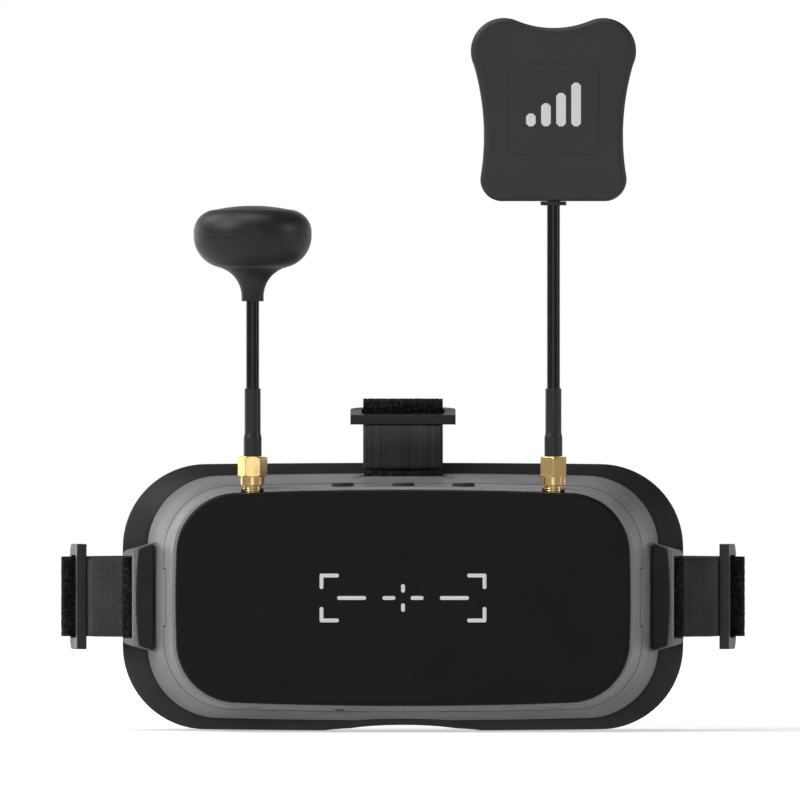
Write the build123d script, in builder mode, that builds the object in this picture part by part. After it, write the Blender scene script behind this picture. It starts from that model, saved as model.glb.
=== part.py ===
from build123d import *
import math
import os

os.makedirs("parts", exist_ok=True)

# FPV goggles with a head harness and two screw-on antennas, in millimetres.
# The front panel looks along -Y and the wearer's face is at +Y. +Z is up.
# Left and right are as seen from the front: left is -X.
# The origin is the middle of the face opening, on the cushion's contact surface.

# ---- Driving dimensions of the housing -------------------------------------------------
WALL = 2.2
Y_PANEL = -92.0          # front face of the front panel
Y_FRONT = -90.0          # front face of the front housing
Y_SEAM = -61.0           # joint between the front and the rear housing
Y_REAR = -32.0           # rear edge of the rear housing
Y_FLARE = -20.0          # where the face flange has its full size
FACE_RADIUS = 200.0      # plan radius of the rim that follows the face
Y_RIM = -14.0            # the rim at the middle of the face
CUSHION = 14.0           # cushion thickness

# Cross-sections: half width, half height, bow of the sides, bow of top and bottom, corner
PANEL_SECTION = (71.0, 33.7, 1.4, 1.8, 19.0)
FRONT_SECTION = (71.9, 34.6, 1.4, 1.8, 19.8)
SEAM_SECTION = (74.9, 35.7, 1.3, 1.5, 21.0)
REAR_SECTION = (80.2, 38.7, 1.2, 1.4, 22.5)
FLARE_SECTION = (83.4, 40.1, 1.0, 1.1, 24.0)
FLANGE_SECTION = (88.0, 42.0, 0.8, 0.8, 26.0)

# ---- Driving dimensions of the harness --------------------------------------------------
STRAP_W = 25.0
STRAP_T = 1.4
PIN_R = 1.5
FIT = 0.3                # gap between webbing and hard parts
FLARE_ANGLE = math.radians(7)
SIDE_PIN = (-84.6, -39.5)            # plan position of the side strap's pin
SIDE_ADJUSTER = (-99.9, -14.0)       # plan position of the side adjuster's front edge
TOP_PIN = (-39.0, 36.4)              # the same two for the top strap, in Y and Z
TOP_ADJUSTER = (-27.0, 54.6)
ADJUSTER_L = 20.0
HEAD_CENTRE_Y = 84.0
HEAD_R = 78.0

# ---- Driving dimensions of the antennas -------------------------------------------------
ANTENNA_X = 46.9
ANTENNA_Y = -84.5
JACK_R = 3.12
NUT_AF = 8.0
STEM_R = 2.04


def across(y):
    """A plane seen from the front, at depth y."""
    return Plane.XZ.offset(-y)


def blend(a, b, share):
    return tuple(p + (q - p) * share for p, q in zip(a, b))


def section_at(y):
    """The housing's cross-section at depth y."""
    if y <= Y_SEAM:
        return blend(FRONT_SECTION, SEAM_SECTION, (y - Y_FRONT) / (Y_SEAM - Y_FRONT))
    return blend(SEAM_SECTION, REAR_SECTION, (y - Y_SEAM) / (Y_REAR - Y_SEAM))


def outline(y, section, inset=0.0):
    """A bowed rounded rectangle at depth y, drawn in by inset."""
    half_w, half_h, bow_x, bow_z, corner = section
    half_w = half_w - inset
    half_h = half_h - inset
    side = half_w - bow_x
    top = half_h - bow_z
    with BuildSketch(across(y)) as drawn:
        with BuildLine():
            ThreePointArc((-side, top), (0, half_h), (side, top))
            ThreePointArc((side, top), (half_w, 0), (side, -top))
            ThreePointArc((side, -top), (0, -half_h), (-side, -top))
            ThreePointArc((-side, -top), (-half_w, 0), (-side, top))
        make_face()
        fillet(drawn.vertices(), max(corner - inset, 2.0))
    return drawn.sketch


def body_outline(y, inset=0.0):
    return outline(y, section_at(y), inset)


def nose_arch(y, half_w, foot, crown, lean):
    """The nose arch at depth y: a curve from foot to crown and back, closed underneath."""
    with BuildSketch(across(y)) as drawn:
        with BuildLine():
            Spline((-half_w, foot), (0, crown), (half_w, foot), tangents=((1, lean), (1, -lean)))
            Line((half_w, foot), (-half_w, foot))
        make_face()
    return drawn.sketch


def save(part, label):
    part.label = label
    export_step(part, f"parts/{label}.step")


# ========================= Front panel and housing =======================================
PANEL_EDGE = 1.2

with BuildPart() as front_panel:
    with BuildSketch(across(Y_PANEL)):
        add(outline(Y_PANEL, PANEL_SECTION))
    extrude(amount=-(Y_FRONT - Y_PANEL))
    fillet(front_panel.faces().sort_by(Axis.Y)[0].edges(), PANEL_EDGE)
save(front_panel.part, "front_panel")

# Button, switch and socket positions on the front housing
BUTTON_X = (-18.8, 0.0, 18.8)
BUTTON_Y = -79.5
BUTTON_W = 7.0
BUTTON_L = 9.0
BUTTON_TOP = 35.9
JACK_PORT_X = 46.8
PORT_Y = -80.0
PORT_R = 3.4
SWITCH_X = -18.8
USB_X = 18.7
SLOT_L = 8.9
SLOT_W = 3.2
GRILLE_X = (27.5, 32.8, 38.0)
PINHOLE_X = 11.6
LATCH_W = 18.4
LATCH_L = 5.0
BOSS_X = 63.5
BOSS_Z = 25.5
BOSS_R = 3.2
TONGUE_H = 18.0
TONGUE_L = 8.0
TONGUE_X = 74.0
TONGUE_SPAN = 16.0
EDGE = 0.8
PILOT_R = 1.1            # screw hole in a boss
PILOT_L = 14.0
JACK_GAP = 0.08
RELIEF_R = 3.5
RELIEF_L = 8.0
RELIEF_FLOOR = 32.4
BUTTON_GAP = 0.4
GRILLE_R = 0.8
PINHOLE_R = 0.7
TOP_CUT = 30.0            # inside the top wall, where cuts through the top start
BASE_CUT = -38.0          # below the underside, where cuts through it start
CUT_DEPTH = 8.0

with BuildPart() as tongue_blocks:
    with BuildSketch(across(Y_SEAM - TONGUE_L)):
        with GridLocations(2 * TONGUE_X, 0, 2, 1):
            Rectangle(TONGUE_SPAN, TONGUE_H)
    extrude(amount=-TONGUE_L)

with BuildPart() as front_housing:
    loft([body_outline(Y_FRONT, EDGE), body_outline(Y_FRONT + EDGE), body_outline(Y_SEAM)], ruled=True)
    loft([body_outline(Y_FRONT + WALL, WALL), body_outline(Y_SEAM, WALL)], ruled=True, mode=Mode.SUBTRACT)
    # Four screw bosses
    with BuildSketch(across(Y_FRONT + WALL)):
        with GridLocations(2 * BOSS_X, 2 * BOSS_Z, 2, 2):
            Circle(BOSS_R)
    extrude(amount=-(Y_SEAM - Y_FRONT - WALL))
    with BuildSketch(across(Y_SEAM)):
        with GridLocations(2 * BOSS_X, 2 * BOSS_Z, 2, 2):
            Circle(PILOT_R)
    extrude(amount=PILOT_L, mode=Mode.SUBTRACT)
    # Bore for each antenna jack
    with BuildSketch(Plane.XY.offset(TOP_CUT)):
        with Locations((-ANTENNA_X, ANTENNA_Y), (ANTENNA_X, ANTENNA_Y)):
            Circle(JACK_R + JACK_GAP)
    extrude(amount=CUT_DEPTH, mode=Mode.SUBTRACT)
    # Shallow relief round each jack, open to the front
    with BuildSketch(Plane.XY.offset(RELIEF_FLOOR)):
        for x in (-ANTENNA_X, ANTENNA_X):
            with Locations((x, ANTENNA_Y)):
                Circle(RELIEF_R)
            with Locations((x, ANTENNA_Y - RELIEF_L / 2)):
                Rectangle(2 * RELIEF_R, RELIEF_L)
    extrude(amount=CUT_DEPTH, mode=Mode.SUBTRACT)
    # Button holes in the top
    with BuildSketch(Plane.XY.offset(TOP_CUT)):
        for x in BUTTON_X:
            with Locations((x, BUTTON_Y)):
                SlotOverall(BUTTON_L + BUTTON_GAP, BUTTON_W + BUTTON_GAP, rotation=90)
    extrude(amount=CUT_DEPTH, mode=Mode.SUBTRACT)
    # Round ports, switch and USB slots, grilles and pinholes in the bottom
    with BuildSketch(Plane.XY.offset(BASE_CUT)):
        with Locations((-JACK_PORT_X, PORT_Y), (JACK_PORT_X, PORT_Y)):
            Circle(PORT_R)
        with Locations((SWITCH_X, PORT_Y), (USB_X, PORT_Y)):
            SlotOverall(SLOT_L, SLOT_W)
        for x in GRILLE_X:
            with Locations((-x, PORT_Y), (x, PORT_Y)):
                Circle(GRILLE_R)
        with Locations((-PINHOLE_X, PORT_Y), (PINHOLE_X, PORT_Y)):
            Circle(PINHOLE_R)
    extrude(amount=CUT_DEPTH, mode=Mode.SUBTRACT)
    # Latch windows at the seam, top and bottom
    with BuildSketch(Plane.XY.offset(BASE_CUT)):
        with Locations((0, Y_SEAM - LATCH_L / 2)):
            Rectangle(LATCH_W, LATCH_L)
    extrude(amount=-2 * BASE_CUT, mode=Mode.SUBTRACT)
    add(tongue_blocks.part, mode=Mode.SUBTRACT)
save(front_housing.part, "front_housing")

# ========================= Rear housing ==================================================
RAIL_IN = STRAP_W / 2 + 0.4
RAIL_OUT = 17.2
PLATE_Y = -46.5          # front of the grey bracket plate
POCKET_W = STRAP_W + 2.2
SEAT_Y = -37.0           # front face of the lens frame
SEAT_X = 74.0
SEAT_Z = 12.0
SEAT_BOSS_R = 3.0
SEAT_PILOT_R = 1.0
PIN_HALF = 14.2          # half length of a side pin
SCREW_BOSS_R = 4.8
SCREW_BOSS_L = 5.0
SCREW_CLEAR_R = 1.4
POCKET_L = 8.4
POCKET_FLOOR = 32.9
POCKET_BASE = 31.5
POCKET_RIM = 37.8
BRACKET_EDGE = 0.9
BRACKET_X = 87.8         # outermost reach of a bracket
BRACKET_L = 20.0
BRACKET_END = 14.4       # half height of a bracket at its outer end
BRACKET_CORNER = 2.0
COVER_X = -77.7          # inner edge of the bracket's dark cover
ARCH_HALF = 31.0         # half width of the nose arch at the housing
ARCH_FOOT = -45.0

with BuildPart() as bracket_left:
    # Two rails above and below the webbing, closed at the front by a plate
    with BuildSketch(Plane.XY.offset(-RAIL_OUT)):
        with BuildLine():
            Polyline((-76.3, PLATE_Y), (-84.2, PLATE_Y), (-87.8, -42.4), (-87.8, -36.2), (-85.4, -34.0),
                     (-78.6, -34.0), close=True)
        make_face()
    extrude(amount=2 * RAIL_OUT)
    with BuildSketch(Plane.XY.offset(-RAIL_IN)):
        with BuildLine():
            Polyline((-74.0, -44.6), (-90.0, -44.6), (-90.0, -30.0), (-74.0, -30.0), close=True)
        make_face()
    extrude(amount=2 * RAIL_IN, mode=Mode.SUBTRACT)
    with Locations((SIDE_PIN[0], SIDE_PIN[1], 0)):
        Cylinder(PIN_R, 2 * PIN_HALF, mode=Mode.SUBTRACT)
    fillet(bracket_left.edges().filter_by(Axis.Z).filter_by_position(Axis.X, -88, -84), BRACKET_EDGE)
    # Seen from the front, the rails taper outwards and end in rounded corners
    with BuildSketch(across(PLATE_Y - 1)) as taper:
        Polygon((-BRACKET_X, -BRACKET_END), (-BRACKET_X, BRACKET_END), (COVER_X, RAIL_OUT),
                (COVER_X + BRACKET_L, RAIL_OUT), (COVER_X + BRACKET_L, -RAIL_OUT), (COVER_X, -RAIL_OUT),
                align=None)
        fillet(taper.vertices().group_by(Axis.X)[0], BRACKET_CORNER)
    extrude(amount=-20, mode=Mode.INTERSECT)

with BuildPart() as rear_housing:
    loft([body_outline(Y_SEAM), body_outline(Y_REAR)], ruled=True)
    loft([body_outline(Y_SEAM, WALL), body_outline(Y_REAR, WALL)], ruled=True, mode=Mode.SUBTRACT)
    # Side tongues that reach forward into the front housing
    with BuildPart(mode=Mode.PRIVATE) as tongues:
        loft([body_outline(Y_SEAM - TONGUE_L), body_outline(Y_SEAM)], ruled=True)
        loft([body_outline(Y_SEAM - TONGUE_L, WALL), body_outline(Y_SEAM, WALL)], ruled=True,
             mode=Mode.SUBTRACT)
        with BuildSketch(across(Y_SEAM - TONGUE_L + 0.2)):
            with GridLocations(2 * TONGUE_X, 0, 2, 1):
                Rectangle(TONGUE_SPAN, TONGUE_H - 0.4)
        extrude(amount=-TONGUE_L, mode=Mode.INTERSECT)
    add(tongues.part)
    # Screw bosses at the seam
    with BuildSketch(across(Y_SEAM)):
        with GridLocations(2 * BOSS_X, 2 * BOSS_Z, 2, 2):
            Circle(SCREW_BOSS_R)
    extrude(amount=-SCREW_BOSS_L)
    with BuildSketch(across(Y_SEAM)):
        with GridLocations(2 * BOSS_X, 2 * BOSS_Z, 2, 2):
            Circle(SCREW_CLEAR_R)
    extrude(amount=-SCREW_BOSS_L, mode=Mode.SUBTRACT)
    # Bosses for the lens frame
    with BuildSketch(across(SEAT_Y)):
        with GridLocations(2 * SEAT_X, 2 * SEAT_Z, 2, 2):
            Circle(SEAT_BOSS_R)
    extrude(amount=8)
    with BuildSketch(across(SEAT_Y)):
        with GridLocations(2 * SEAT_X, 2 * SEAT_Z, 2, 2):
            Circle(SEAT_PILOT_R)
    extrude(amount=7, mode=Mode.SUBTRACT)
    # Pocket for the top strap and its pin
    with BuildSketch(Plane.XY.offset(POCKET_BASE)):
        with Locations((0, TOP_PIN[0])):
            Rectangle(POCKET_W + 2 * WALL, POCKET_L + 4)
    extrude(amount=POCKET_RIM - POCKET_BASE)
    with BuildSketch(Plane.XY.offset(POCKET_FLOOR)):
        with Locations((0, TOP_PIN[0])):
            Rectangle(POCKET_W, POCKET_L)
    extrude(amount=10, mode=Mode.SUBTRACT)
    with Locations(Location((0, TOP_PIN[0], TOP_PIN[1]), (0, 90, 0))):
        Cylinder(PIN_R, POCKET_W + 2, mode=Mode.SUBTRACT)
    # Strap brackets on both sides
    add(bracket_left.part)
    mirror(bracket_left.part, about=Plane.YZ)
    # The nose arch starts as a shallow hollow in the underside
    loft([nose_arch(-48, ARCH_HALF, ARCH_FOOT, -39.0, 0.5),
          nose_arch(Y_REAR + 0.1, ARCH_HALF, ARCH_FOOT, -37.5, 0.7)],
         ruled=True, mode=Mode.SUBTRACT)
save(rear_housing.part, "rear_housing")

# ========================= Face flange, cushion and nose arch ============================
FLANGE_WALL = 2.4
RIM_W = 12.0
RIM_T = 2.4
Y_END = 12.0             # beyond the rim everywhere before the face is cut
RIM_START = Y_RIM - 8    # in front of the rim everywhere
TALL = 120.0             # taller than the housing
FACE_CENTRE = (0, Y_RIM + FACE_RADIUS, 0)


def arch_sections(grow):
    """The nose arch from the housing to the face, drawn out by grow for the wall around it."""
    return [
        nose_arch(Y_REAR - 0.02, ARCH_HALF + grow, ARCH_FOOT, -37.5 + grow, 0.7),
        nose_arch(-23.0, ARCH_HALF + grow, ARCH_FOOT, -40.2 + grow, 0.4),
        nose_arch(0.0, ARCH_HALF - 4 + grow, ARCH_FOOT, -23.0 + grow, 3.0),
        nose_arch(30.0, ARCH_HALF - 4 + grow, ARCH_FOOT, -4.0 + grow, 5.0),
    ]


def flange_form(inset):
    """The flange as a filled form, from the housing to beyond the rim, drawn in by inset."""
    with BuildPart() as form:
        loft([outline(Y_REAR, REAR_SECTION, inset), outline(-27.5, FLARE_SECTION, inset),
              outline(Y_FLARE, FLANGE_SECTION, inset)])
        with BuildSketch(across(Y_FLARE)):
            add(outline(Y_FLARE, FLANGE_SECTION, inset))
        extrude(amount=-(Y_END - Y_FLARE))
    return form.part


def ring(y, outer_inset, inner_inset, length):
    """A ring of the flange's outline that runs from depth y towards the face."""
    with BuildPart() as drawn:
        with BuildSketch(across(y)):
            add(outline(y, FLANGE_SECTION, outer_inset))
            add(outline(y, FLANGE_SECTION, inner_inset), mode=Mode.SUBTRACT)
        extrude(amount=-length)
    return drawn.part


flange_solid = flange_form(0.0)
flange_hollow = flange_form(FLANGE_WALL)

with BuildPart() as rim_plate:
    add(ring(RIM_START, 0.0, RIM_W, Y_END - RIM_START))
    with Locations(FACE_CENTRE):
        Cylinder(FACE_RADIUS + RIM_T, TALL, mode=Mode.INTERSECT)

with BuildPart() as arch_wall:
    loft(arch_sections(FLANGE_WALL), ruled=True)
    add(flange_solid, mode=Mode.INTERSECT)

with BuildPart() as face_flange:
    add(flange_solid)
    add(flange_hollow, mode=Mode.SUBTRACT)
    add(rim_plate.part)
    add(arch_wall.part)
    with Locations(FACE_CENTRE):
        Cylinder(FACE_RADIUS, TALL, mode=Mode.SUBTRACT)
    loft(arch_sections(0.0), ruled=True, mode=Mode.SUBTRACT)
save(face_flange.part, "face_flange")

with BuildPart() as face_cushion:
    add(ring(RIM_START, 1.0, RIM_W + 2, 60))
    with Locations(FACE_CENTRE):
        Cylinder(FACE_RADIUS - 0.05, TALL, mode=Mode.INTERSECT)
    with Locations(FACE_CENTRE):
        Cylinder(FACE_RADIUS - CUSHION, TALL + 1, mode=Mode.SUBTRACT)
    loft(arch_sections(0.6), ruled=True, mode=Mode.SUBTRACT)
save(face_cushion.part, "face_cushion")

# ========================= Lens, baffle and display ======================================
LENS_W = 108.0
LENS_H = 60.0
LENS_T = 2.0
LENS_CORNER = 13.8
FRAME_T = 4.0
VIEW_W = 100.0           # the frame's clear window
VIEW_H = 53.0
LENS_SCREW_R = 0.95
LENS_HEAD_R = 1.9
HEX_KEY_R = 0.8

with BuildPart() as lens_frame:
    with BuildSketch(across(SEAT_Y)):
        add(outline(SEAT_Y, section_at(SEAT_Y), WALL + 0.6))
        RectangleRounded(VIEW_W, VIEW_H, 10, mode=Mode.SUBTRACT)
        with GridLocations(2 * SEAT_X, 2 * SEAT_Z, 2, 2):
            Circle(1.25, mode=Mode.SUBTRACT)
        with Locations((0, TOP_PIN[1] - 1.5)):
            Rectangle(POCKET_W + 2 * WALL + 1, 8, mode=Mode.SUBTRACT)
    extrude(amount=-FRAME_T)
    with BuildSketch(across(SEAT_Y + FRAME_T)):
        RectangleRounded(LENS_W + 0.4, LENS_H + 0.4, LENS_CORNER + 0.2)
    extrude(amount=LENS_T, mode=Mode.SUBTRACT)
save(lens_frame.part, "lens_frame")

with BuildPart() as fresnel_lens:
    with BuildSketch(across(SEAT_Y + FRAME_T - LENS_T)):
        RectangleRounded(LENS_W, LENS_H, LENS_CORNER)
    extrude(amount=-LENS_T)
save(fresnel_lens.part, "fresnel_lens")

with BuildPart() as lens_screws:
    with BuildSketch(across(SEAT_Y + FRAME_T)):
        with GridLocations(2 * SEAT_X, 2 * SEAT_Z, 2, 2):
            Circle(LENS_SCREW_R)
    extrude(amount=10)
    with BuildSketch(across(SEAT_Y + FRAME_T)):
        with GridLocations(2 * SEAT_X, 2 * SEAT_Z, 2, 2):
            Circle(LENS_HEAD_R)
            RegularPolygon(HEX_KEY_R, 4, mode=Mode.SUBTRACT)
    extrude(amount=-1.4)
save(lens_screws.part, "lens_screws")

DISPLAY_W = 105.4
DISPLAY_H = 59.0
Y_TRAY = -75.6
TRAY_T = 3.2
GLASS_T = 1.6
Y_GLASS = Y_TRAY + TRAY_T
Y_BAFFLE = Y_GLASS + GLASS_T

with BuildPart() as display_backlight:
    with BuildSketch(across(Y_TRAY)):
        RectangleRounded(DISPLAY_W + 1, DISPLAY_H + 1, 2)
    extrude(amount=-TRAY_T)
save(display_backlight.part, "display_backlight")

with BuildPart() as display_panel:
    with BuildSketch(across(Y_GLASS)):
        RectangleRounded(DISPLAY_W, DISPLAY_H, 1.5)
    extrude(amount=-GLASS_T)
save(display_panel.part, "display_panel")


def rounded_tunnel(half_w, half_h, corner, y):
    with BuildSketch(across(y)) as drawn:
        RectangleRounded(2 * half_w, 2 * half_h, corner)
    return drawn.sketch


with BuildPart() as light_baffle:
    loft([rounded_tunnel(51.2, 29.4, 4, Y_BAFFLE), rounded_tunnel(53.2, 29.6, 11, SEAT_Y)], ruled=True)
    loft([rounded_tunnel(50.0, 28.2, 3, Y_BAFFLE), rounded_tunnel(52.0, 28.4, 10, SEAT_Y)], ruled=True,
         mode=Mode.SUBTRACT)
save(light_baffle.part, "light_baffle")

# ========================= Electronics ===================================================
Y_BOARD = -85.0
BOARD_T = 1.6
BOARD_W = 70.0
BOARD_H = 54.0

with BuildPart() as main_board:
    with BuildSketch(across(Y_BOARD)):
        Rectangle(BOARD_W, BOARD_H)
        with GridLocations(BOARD_W - 8, BOARD_H - 8, 2, 2):
            Circle(1.1, mode=Mode.SUBTRACT)
    extrude(amount=-BOARD_T)
save(main_board.part, "main_board")

# Middle in X and Z, width and height of each chip
CHIPS = ((-14, 6, 14, 14), (8, 8, 12, 9), (20, -12, 9, 9), (-22, -14, 7, 5), (0, -10, 8, 6))
CHIP_T = 1.4
CAPACITOR_R = 3.2
CAPACITOR_L = 5.6

with BuildPart() as main_board_parts:
    with BuildSketch(across(Y_BOARD + BOARD_T)):
        for x, z, width, height in CHIPS:
            with Locations((x, z)):
                Rectangle(width, height)
    extrude(amount=-CHIP_T)
    with BuildSketch(across(Y_BOARD + BOARD_T)):
        with Locations((-8, -18), (8, -18), (28, 14)):
            Circle(CAPACITOR_R)
    extrude(amount=-CAPACITOR_L)
save(main_board_parts.part, "main_board_parts")

RECEIVER_Z = 9.0
RECEIVER_T = 1.0
SHIELD_T = 3.0
Y_RECEIVER = ANTENNA_Y + 1.0


def receiver_board(x):
    with BuildPart() as board:
        with BuildSketch(across(Y_RECEIVER)):
            with Locations((x, RECEIVER_Z)):
                Rectangle(20, 28)
        extrude(amount=-RECEIVER_T)
    return board.part


def receiver_shield(x):
    with BuildPart() as shield:
        with BuildSketch(across(Y_RECEIVER + RECEIVER_T)):
            with Locations((x, RECEIVER_Z - 1)):
                RectangleRounded(18, 23, 0.6)
        extrude(amount=-SHIELD_T)
    return shield.part


for side, x in (("left", -ANTENNA_X), ("right", ANTENNA_X)):
    save(receiver_board(x), f"receiver_board_{side}")
    save(receiver_shield(x), f"receiver_shield_{side}")

# Board under the buttons, with three dome switches on it
SWITCH_BOARD_Z = 29.0
SWITCH_BOARD_T = 1.0
DOME_H = 1.2
with BuildPart() as button_board:
    with BuildSketch(Plane.XY.offset(SWITCH_BOARD_Z - SWITCH_BOARD_T)):
        with Locations((0, BUTTON_Y)):
            Rectangle(52, 7)
    extrude(amount=SWITCH_BOARD_T)
save(button_board.part, "button_board")

with BuildPart() as dome_switches:
    with BuildSketch(Plane.XY.offset(SWITCH_BOARD_Z)):
        for x in BUTTON_X:
            with Locations((x, BUTTON_Y)):
                Rectangle(4.5, 4.5)
    extrude(amount=DOME_H)
save(dome_switches.part, "dome_switches")

BUTTON_TRAVEL = 0.6
BUTTON_BASE = SWITCH_BOARD_Z + DOME_H + BUTTON_TRAVEL + 0.1
BUTTON_LIP = 0.8          # thickness of the foot
BUTTON_FOOT = 1.6         # how much wider the foot is


def button(x):
    """An oval cap on a wider foot that keeps it inside the housing."""
    with BuildPart() as cap:
        with BuildSketch(Plane.XY.offset(BUTTON_BASE)):
            with Locations((x, BUTTON_Y)):
                SlotOverall(BUTTON_L, BUTTON_W, rotation=90)
        extrude(amount=BUTTON_TOP - BUTTON_BASE)
        fillet(cap.faces().sort_by(Axis.Z)[-1].edges(), 0.5)
        with BuildSketch(Plane.XY.offset(BUTTON_BASE)):
            with Locations((x, BUTTON_Y)):
                SlotOverall(BUTTON_L + BUTTON_FOOT, BUTTON_W + BUTTON_FOOT, rotation=90)
        extrude(amount=BUTTON_LIP)
    return cap.part


for name, x in zip(("left", "centre", "right"), BUTTON_X):
    save(button(x), f"button_{name}")

# Battery pouches beside the light baffle
with BuildPart() as batteries:
    with BuildSketch(across(-57.5)):
        with GridLocations(2 * 62.0, 0, 2, 1):
            RectangleRounded(9.0, 40, 2.5)
    extrude(amount=-17)
save(batteries.part, "battery_pouches")

# Sockets, speaker and power switch on the underside
with BuildPart() as speaker:
    with BuildSketch(Plane.XY.offset(-31.0)):
        with Locations((-GRILLE_X[1], PORT_Y)):
            RectangleRounded(16.0, 6.4, 2.0)
    extrude(amount=3.6)
    with BuildSketch(Plane.XY.offset(-27.4)):
        with Locations((-GRILLE_X[1], PORT_Y)):
            Rectangle(10.0, 5.0)
    extrude(amount=1.4)
save(speaker.part, "speaker")

AV_BORE_R = 1.8
AV_BORE_L = 12.0
DC_BORE_R = 2.85
DC_BORE_L = 10.0
DC_PIN_R = 1.05
SOCKET_TOP = -18.0
SOCKET_BASE = -31.6


def round_socket(x, bore_r, depth):
    """A socket body over a round port, with a bore for the plug."""
    with BuildPart() as socket:
        with BuildSketch(Plane.XY.offset(SOCKET_BASE)):
            with Locations((x, PORT_Y)):
                RectangleRounded(8.0, 6.4, 0.8)
        extrude(amount=SOCKET_TOP - SOCKET_BASE)
        with BuildSketch(Plane.XY.offset(SOCKET_BASE)):
            with Locations((x, PORT_Y)):
                Circle(bore_r)
        extrude(amount=depth, mode=Mode.SUBTRACT)
    return socket.part


save(round_socket(-JACK_PORT_X, AV_BORE_R, AV_BORE_L), "av_socket")

with BuildPart() as dc_socket:
    add(round_socket(JACK_PORT_X, DC_BORE_R, DC_BORE_L))
    with BuildSketch(Plane.XY.offset(SOCKET_BASE + 1)):
        with Locations((JACK_PORT_X, PORT_Y)):
            Circle(DC_PIN_R)
    extrude(amount=DC_BORE_L)
save(dc_socket.part, "dc_socket")

with BuildPart() as usb_socket:
    with BuildSketch(Plane.XY.offset(-32.4)):
        with Locations((USB_X, PORT_Y)):
            SlotOverall(SLOT_L + 0.6, SLOT_W + 0.6)
            SlotOverall(SLOT_L - 0.4, SLOT_W - 0.4, mode=Mode.SUBTRACT)
    extrude(amount=6.4)
    with BuildSketch(Plane.XY.offset(-26.4)):
        with Locations((USB_X, PORT_Y)):
            SlotOverall(SLOT_L + 0.6, SLOT_W + 0.6)
    extrude(amount=0.8)
    with BuildSketch(Plane.XY.offset(-31.4)):
        with Locations((USB_X, PORT_Y)):
            Rectangle(6.6, 0.8)
    extrude(amount=5)
save(usb_socket.part, "usb_socket")

KNOB_L = 3.0
SWITCH_TRAVEL = 2.0
SWITCH_REST = -1.0
with BuildPart() as power_switch:
    with BuildSketch(Plane.XY.offset(-31.0)):
        with Locations((SWITCH_X, PORT_Y)):
            Rectangle(11, 5)
    extrude(amount=4.4)
    with BuildSketch(Plane.XY.offset(-31.0)):
        with Locations((SWITCH_X, PORT_Y)):
            Rectangle(KNOB_L + SWITCH_TRAVEL + 0.8, 2.2)
    extrude(amount=2.2, mode=Mode.SUBTRACT)
save(power_switch.part, "power_switch")

with BuildPart() as switch_knob:
    with BuildSketch(Plane.XY.offset(-34.0)):
        with Locations((SWITCH_X + SWITCH_REST, PORT_Y)):
            Rectangle(KNOB_L, 1.8)
    extrude(amount=4.8)
    with BuildSketch(Plane.XY.offset(-35.2)):
        with Locations((SWITCH_X + SWITCH_REST, PORT_Y)):
            Rectangle(KNOB_L, 2.4)
    extrude(amount=3.0)
    fillet(switch_knob.faces().sort_by(Axis.Z)[0].edges(), 0.4)
save(switch_knob.part, "switch_knob")

# Snap clips in the latch windows
with BuildPart() as seam_clips:
    for z in (32.0, -34.4):
        with BuildSketch(Plane.XY.offset(z)):
            with Locations((0, Y_SEAM - LATCH_L / 2)):
                Rectangle(LATCH_W - 0.4, LATCH_L - 0.4)
        extrude(amount=2.4)
save(seam_clips.part, "seam_clips")

with BuildPart() as housing_screws:
    with BuildSketch(across(Y_SEAM + 5)):
        with GridLocations(2 * BOSS_X, 2 * BOSS_Z, 2, 2):
            Circle(1.05)
    extrude(amount=15)
    with BuildSketch(across(Y_SEAM + 5)):
        with GridLocations(2 * BOSS_X, 2 * BOSS_Z, 2, 2):
            Circle(2.3)
            RegularPolygon(1.0, 4, mode=Mode.SUBTRACT)
    extrude(amount=-1.6)
save(housing_screws.part, "housing_screws")

# ========================= Harness =======================================================
COVER_T = 1.8
COVER_H = 17.0           # half height of the dark cover at its inner edge
BAR_Y = PLATE_Y - COVER_T

with BuildPart() as bracket_bar_left:
    with BuildSketch(across(BAR_Y)) as bar_face:
        with BuildLine():
            Line((COVER_X, -COVER_H), (COVER_X, COVER_H))
            Line((COVER_X, COVER_H), (-82.7, 15.2))
            ThreePointArc((-82.7, 15.2), (-83.6, 0), (-82.7, -15.2))
            Line((-82.7, -15.2), (COVER_X, -COVER_H))
        make_face()
        fillet(bar_face.vertices(), 1.0)
    extrude(amount=-COVER_T)
    fillet(bracket_bar_left.faces().sort_by(Axis.Y)[0].edges(), 0.7)
save(bracket_bar_left.part, "bracket_bar_left")

with BuildPart() as bracket_bar_right:
    mirror(bracket_bar_left.part, about=Plane.YZ)
save(bracket_bar_right.part, "bracket_bar_right")

with BuildPart() as strap_pin_left:
    with Locations((SIDE_PIN[0], SIDE_PIN[1], 0)):
        Cylinder(PIN_R, 2 * PIN_HALF)
save(strap_pin_left.part, "strap_pin_left")

with BuildPart() as strap_pin_right:
    mirror(strap_pin_left.part, about=Plane.YZ)
save(strap_pin_right.part, "strap_pin_right")

with BuildPart() as strap_pin_top:
    with Locations(Location((0, TOP_PIN[0], TOP_PIN[1]), (0, 90, 0))):
        Cylinder(PIN_R, POCKET_W + 2)
save(strap_pin_top.part, "strap_pin_top")

# Around an adjuster, u runs back along the webbing and v runs away from the head
LAYERS_V = -0.9 - STRAP_T            # middle of the two layers that the adjuster holds
BAR_T = 3.0
BAR_W = 4.0
BAR_HALF = 16.5                      # half length of the two bars
ADJUSTER_CORNER = 5.0
BAR_V = LAYERS_V + STRAP_T + FIT     # inner face of the two bars
FLAP_U = 10.0                        # where the free end comes through the window
FLAP_V = 4.9


def adjuster_point(start, along, u, v):
    """A point u along the webbing and v outwards, from an adjuster's front edge."""
    ux, uy = along
    return (start[0] + u * ux - v * uy, start[1] + u * uy + v * ux)


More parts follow.
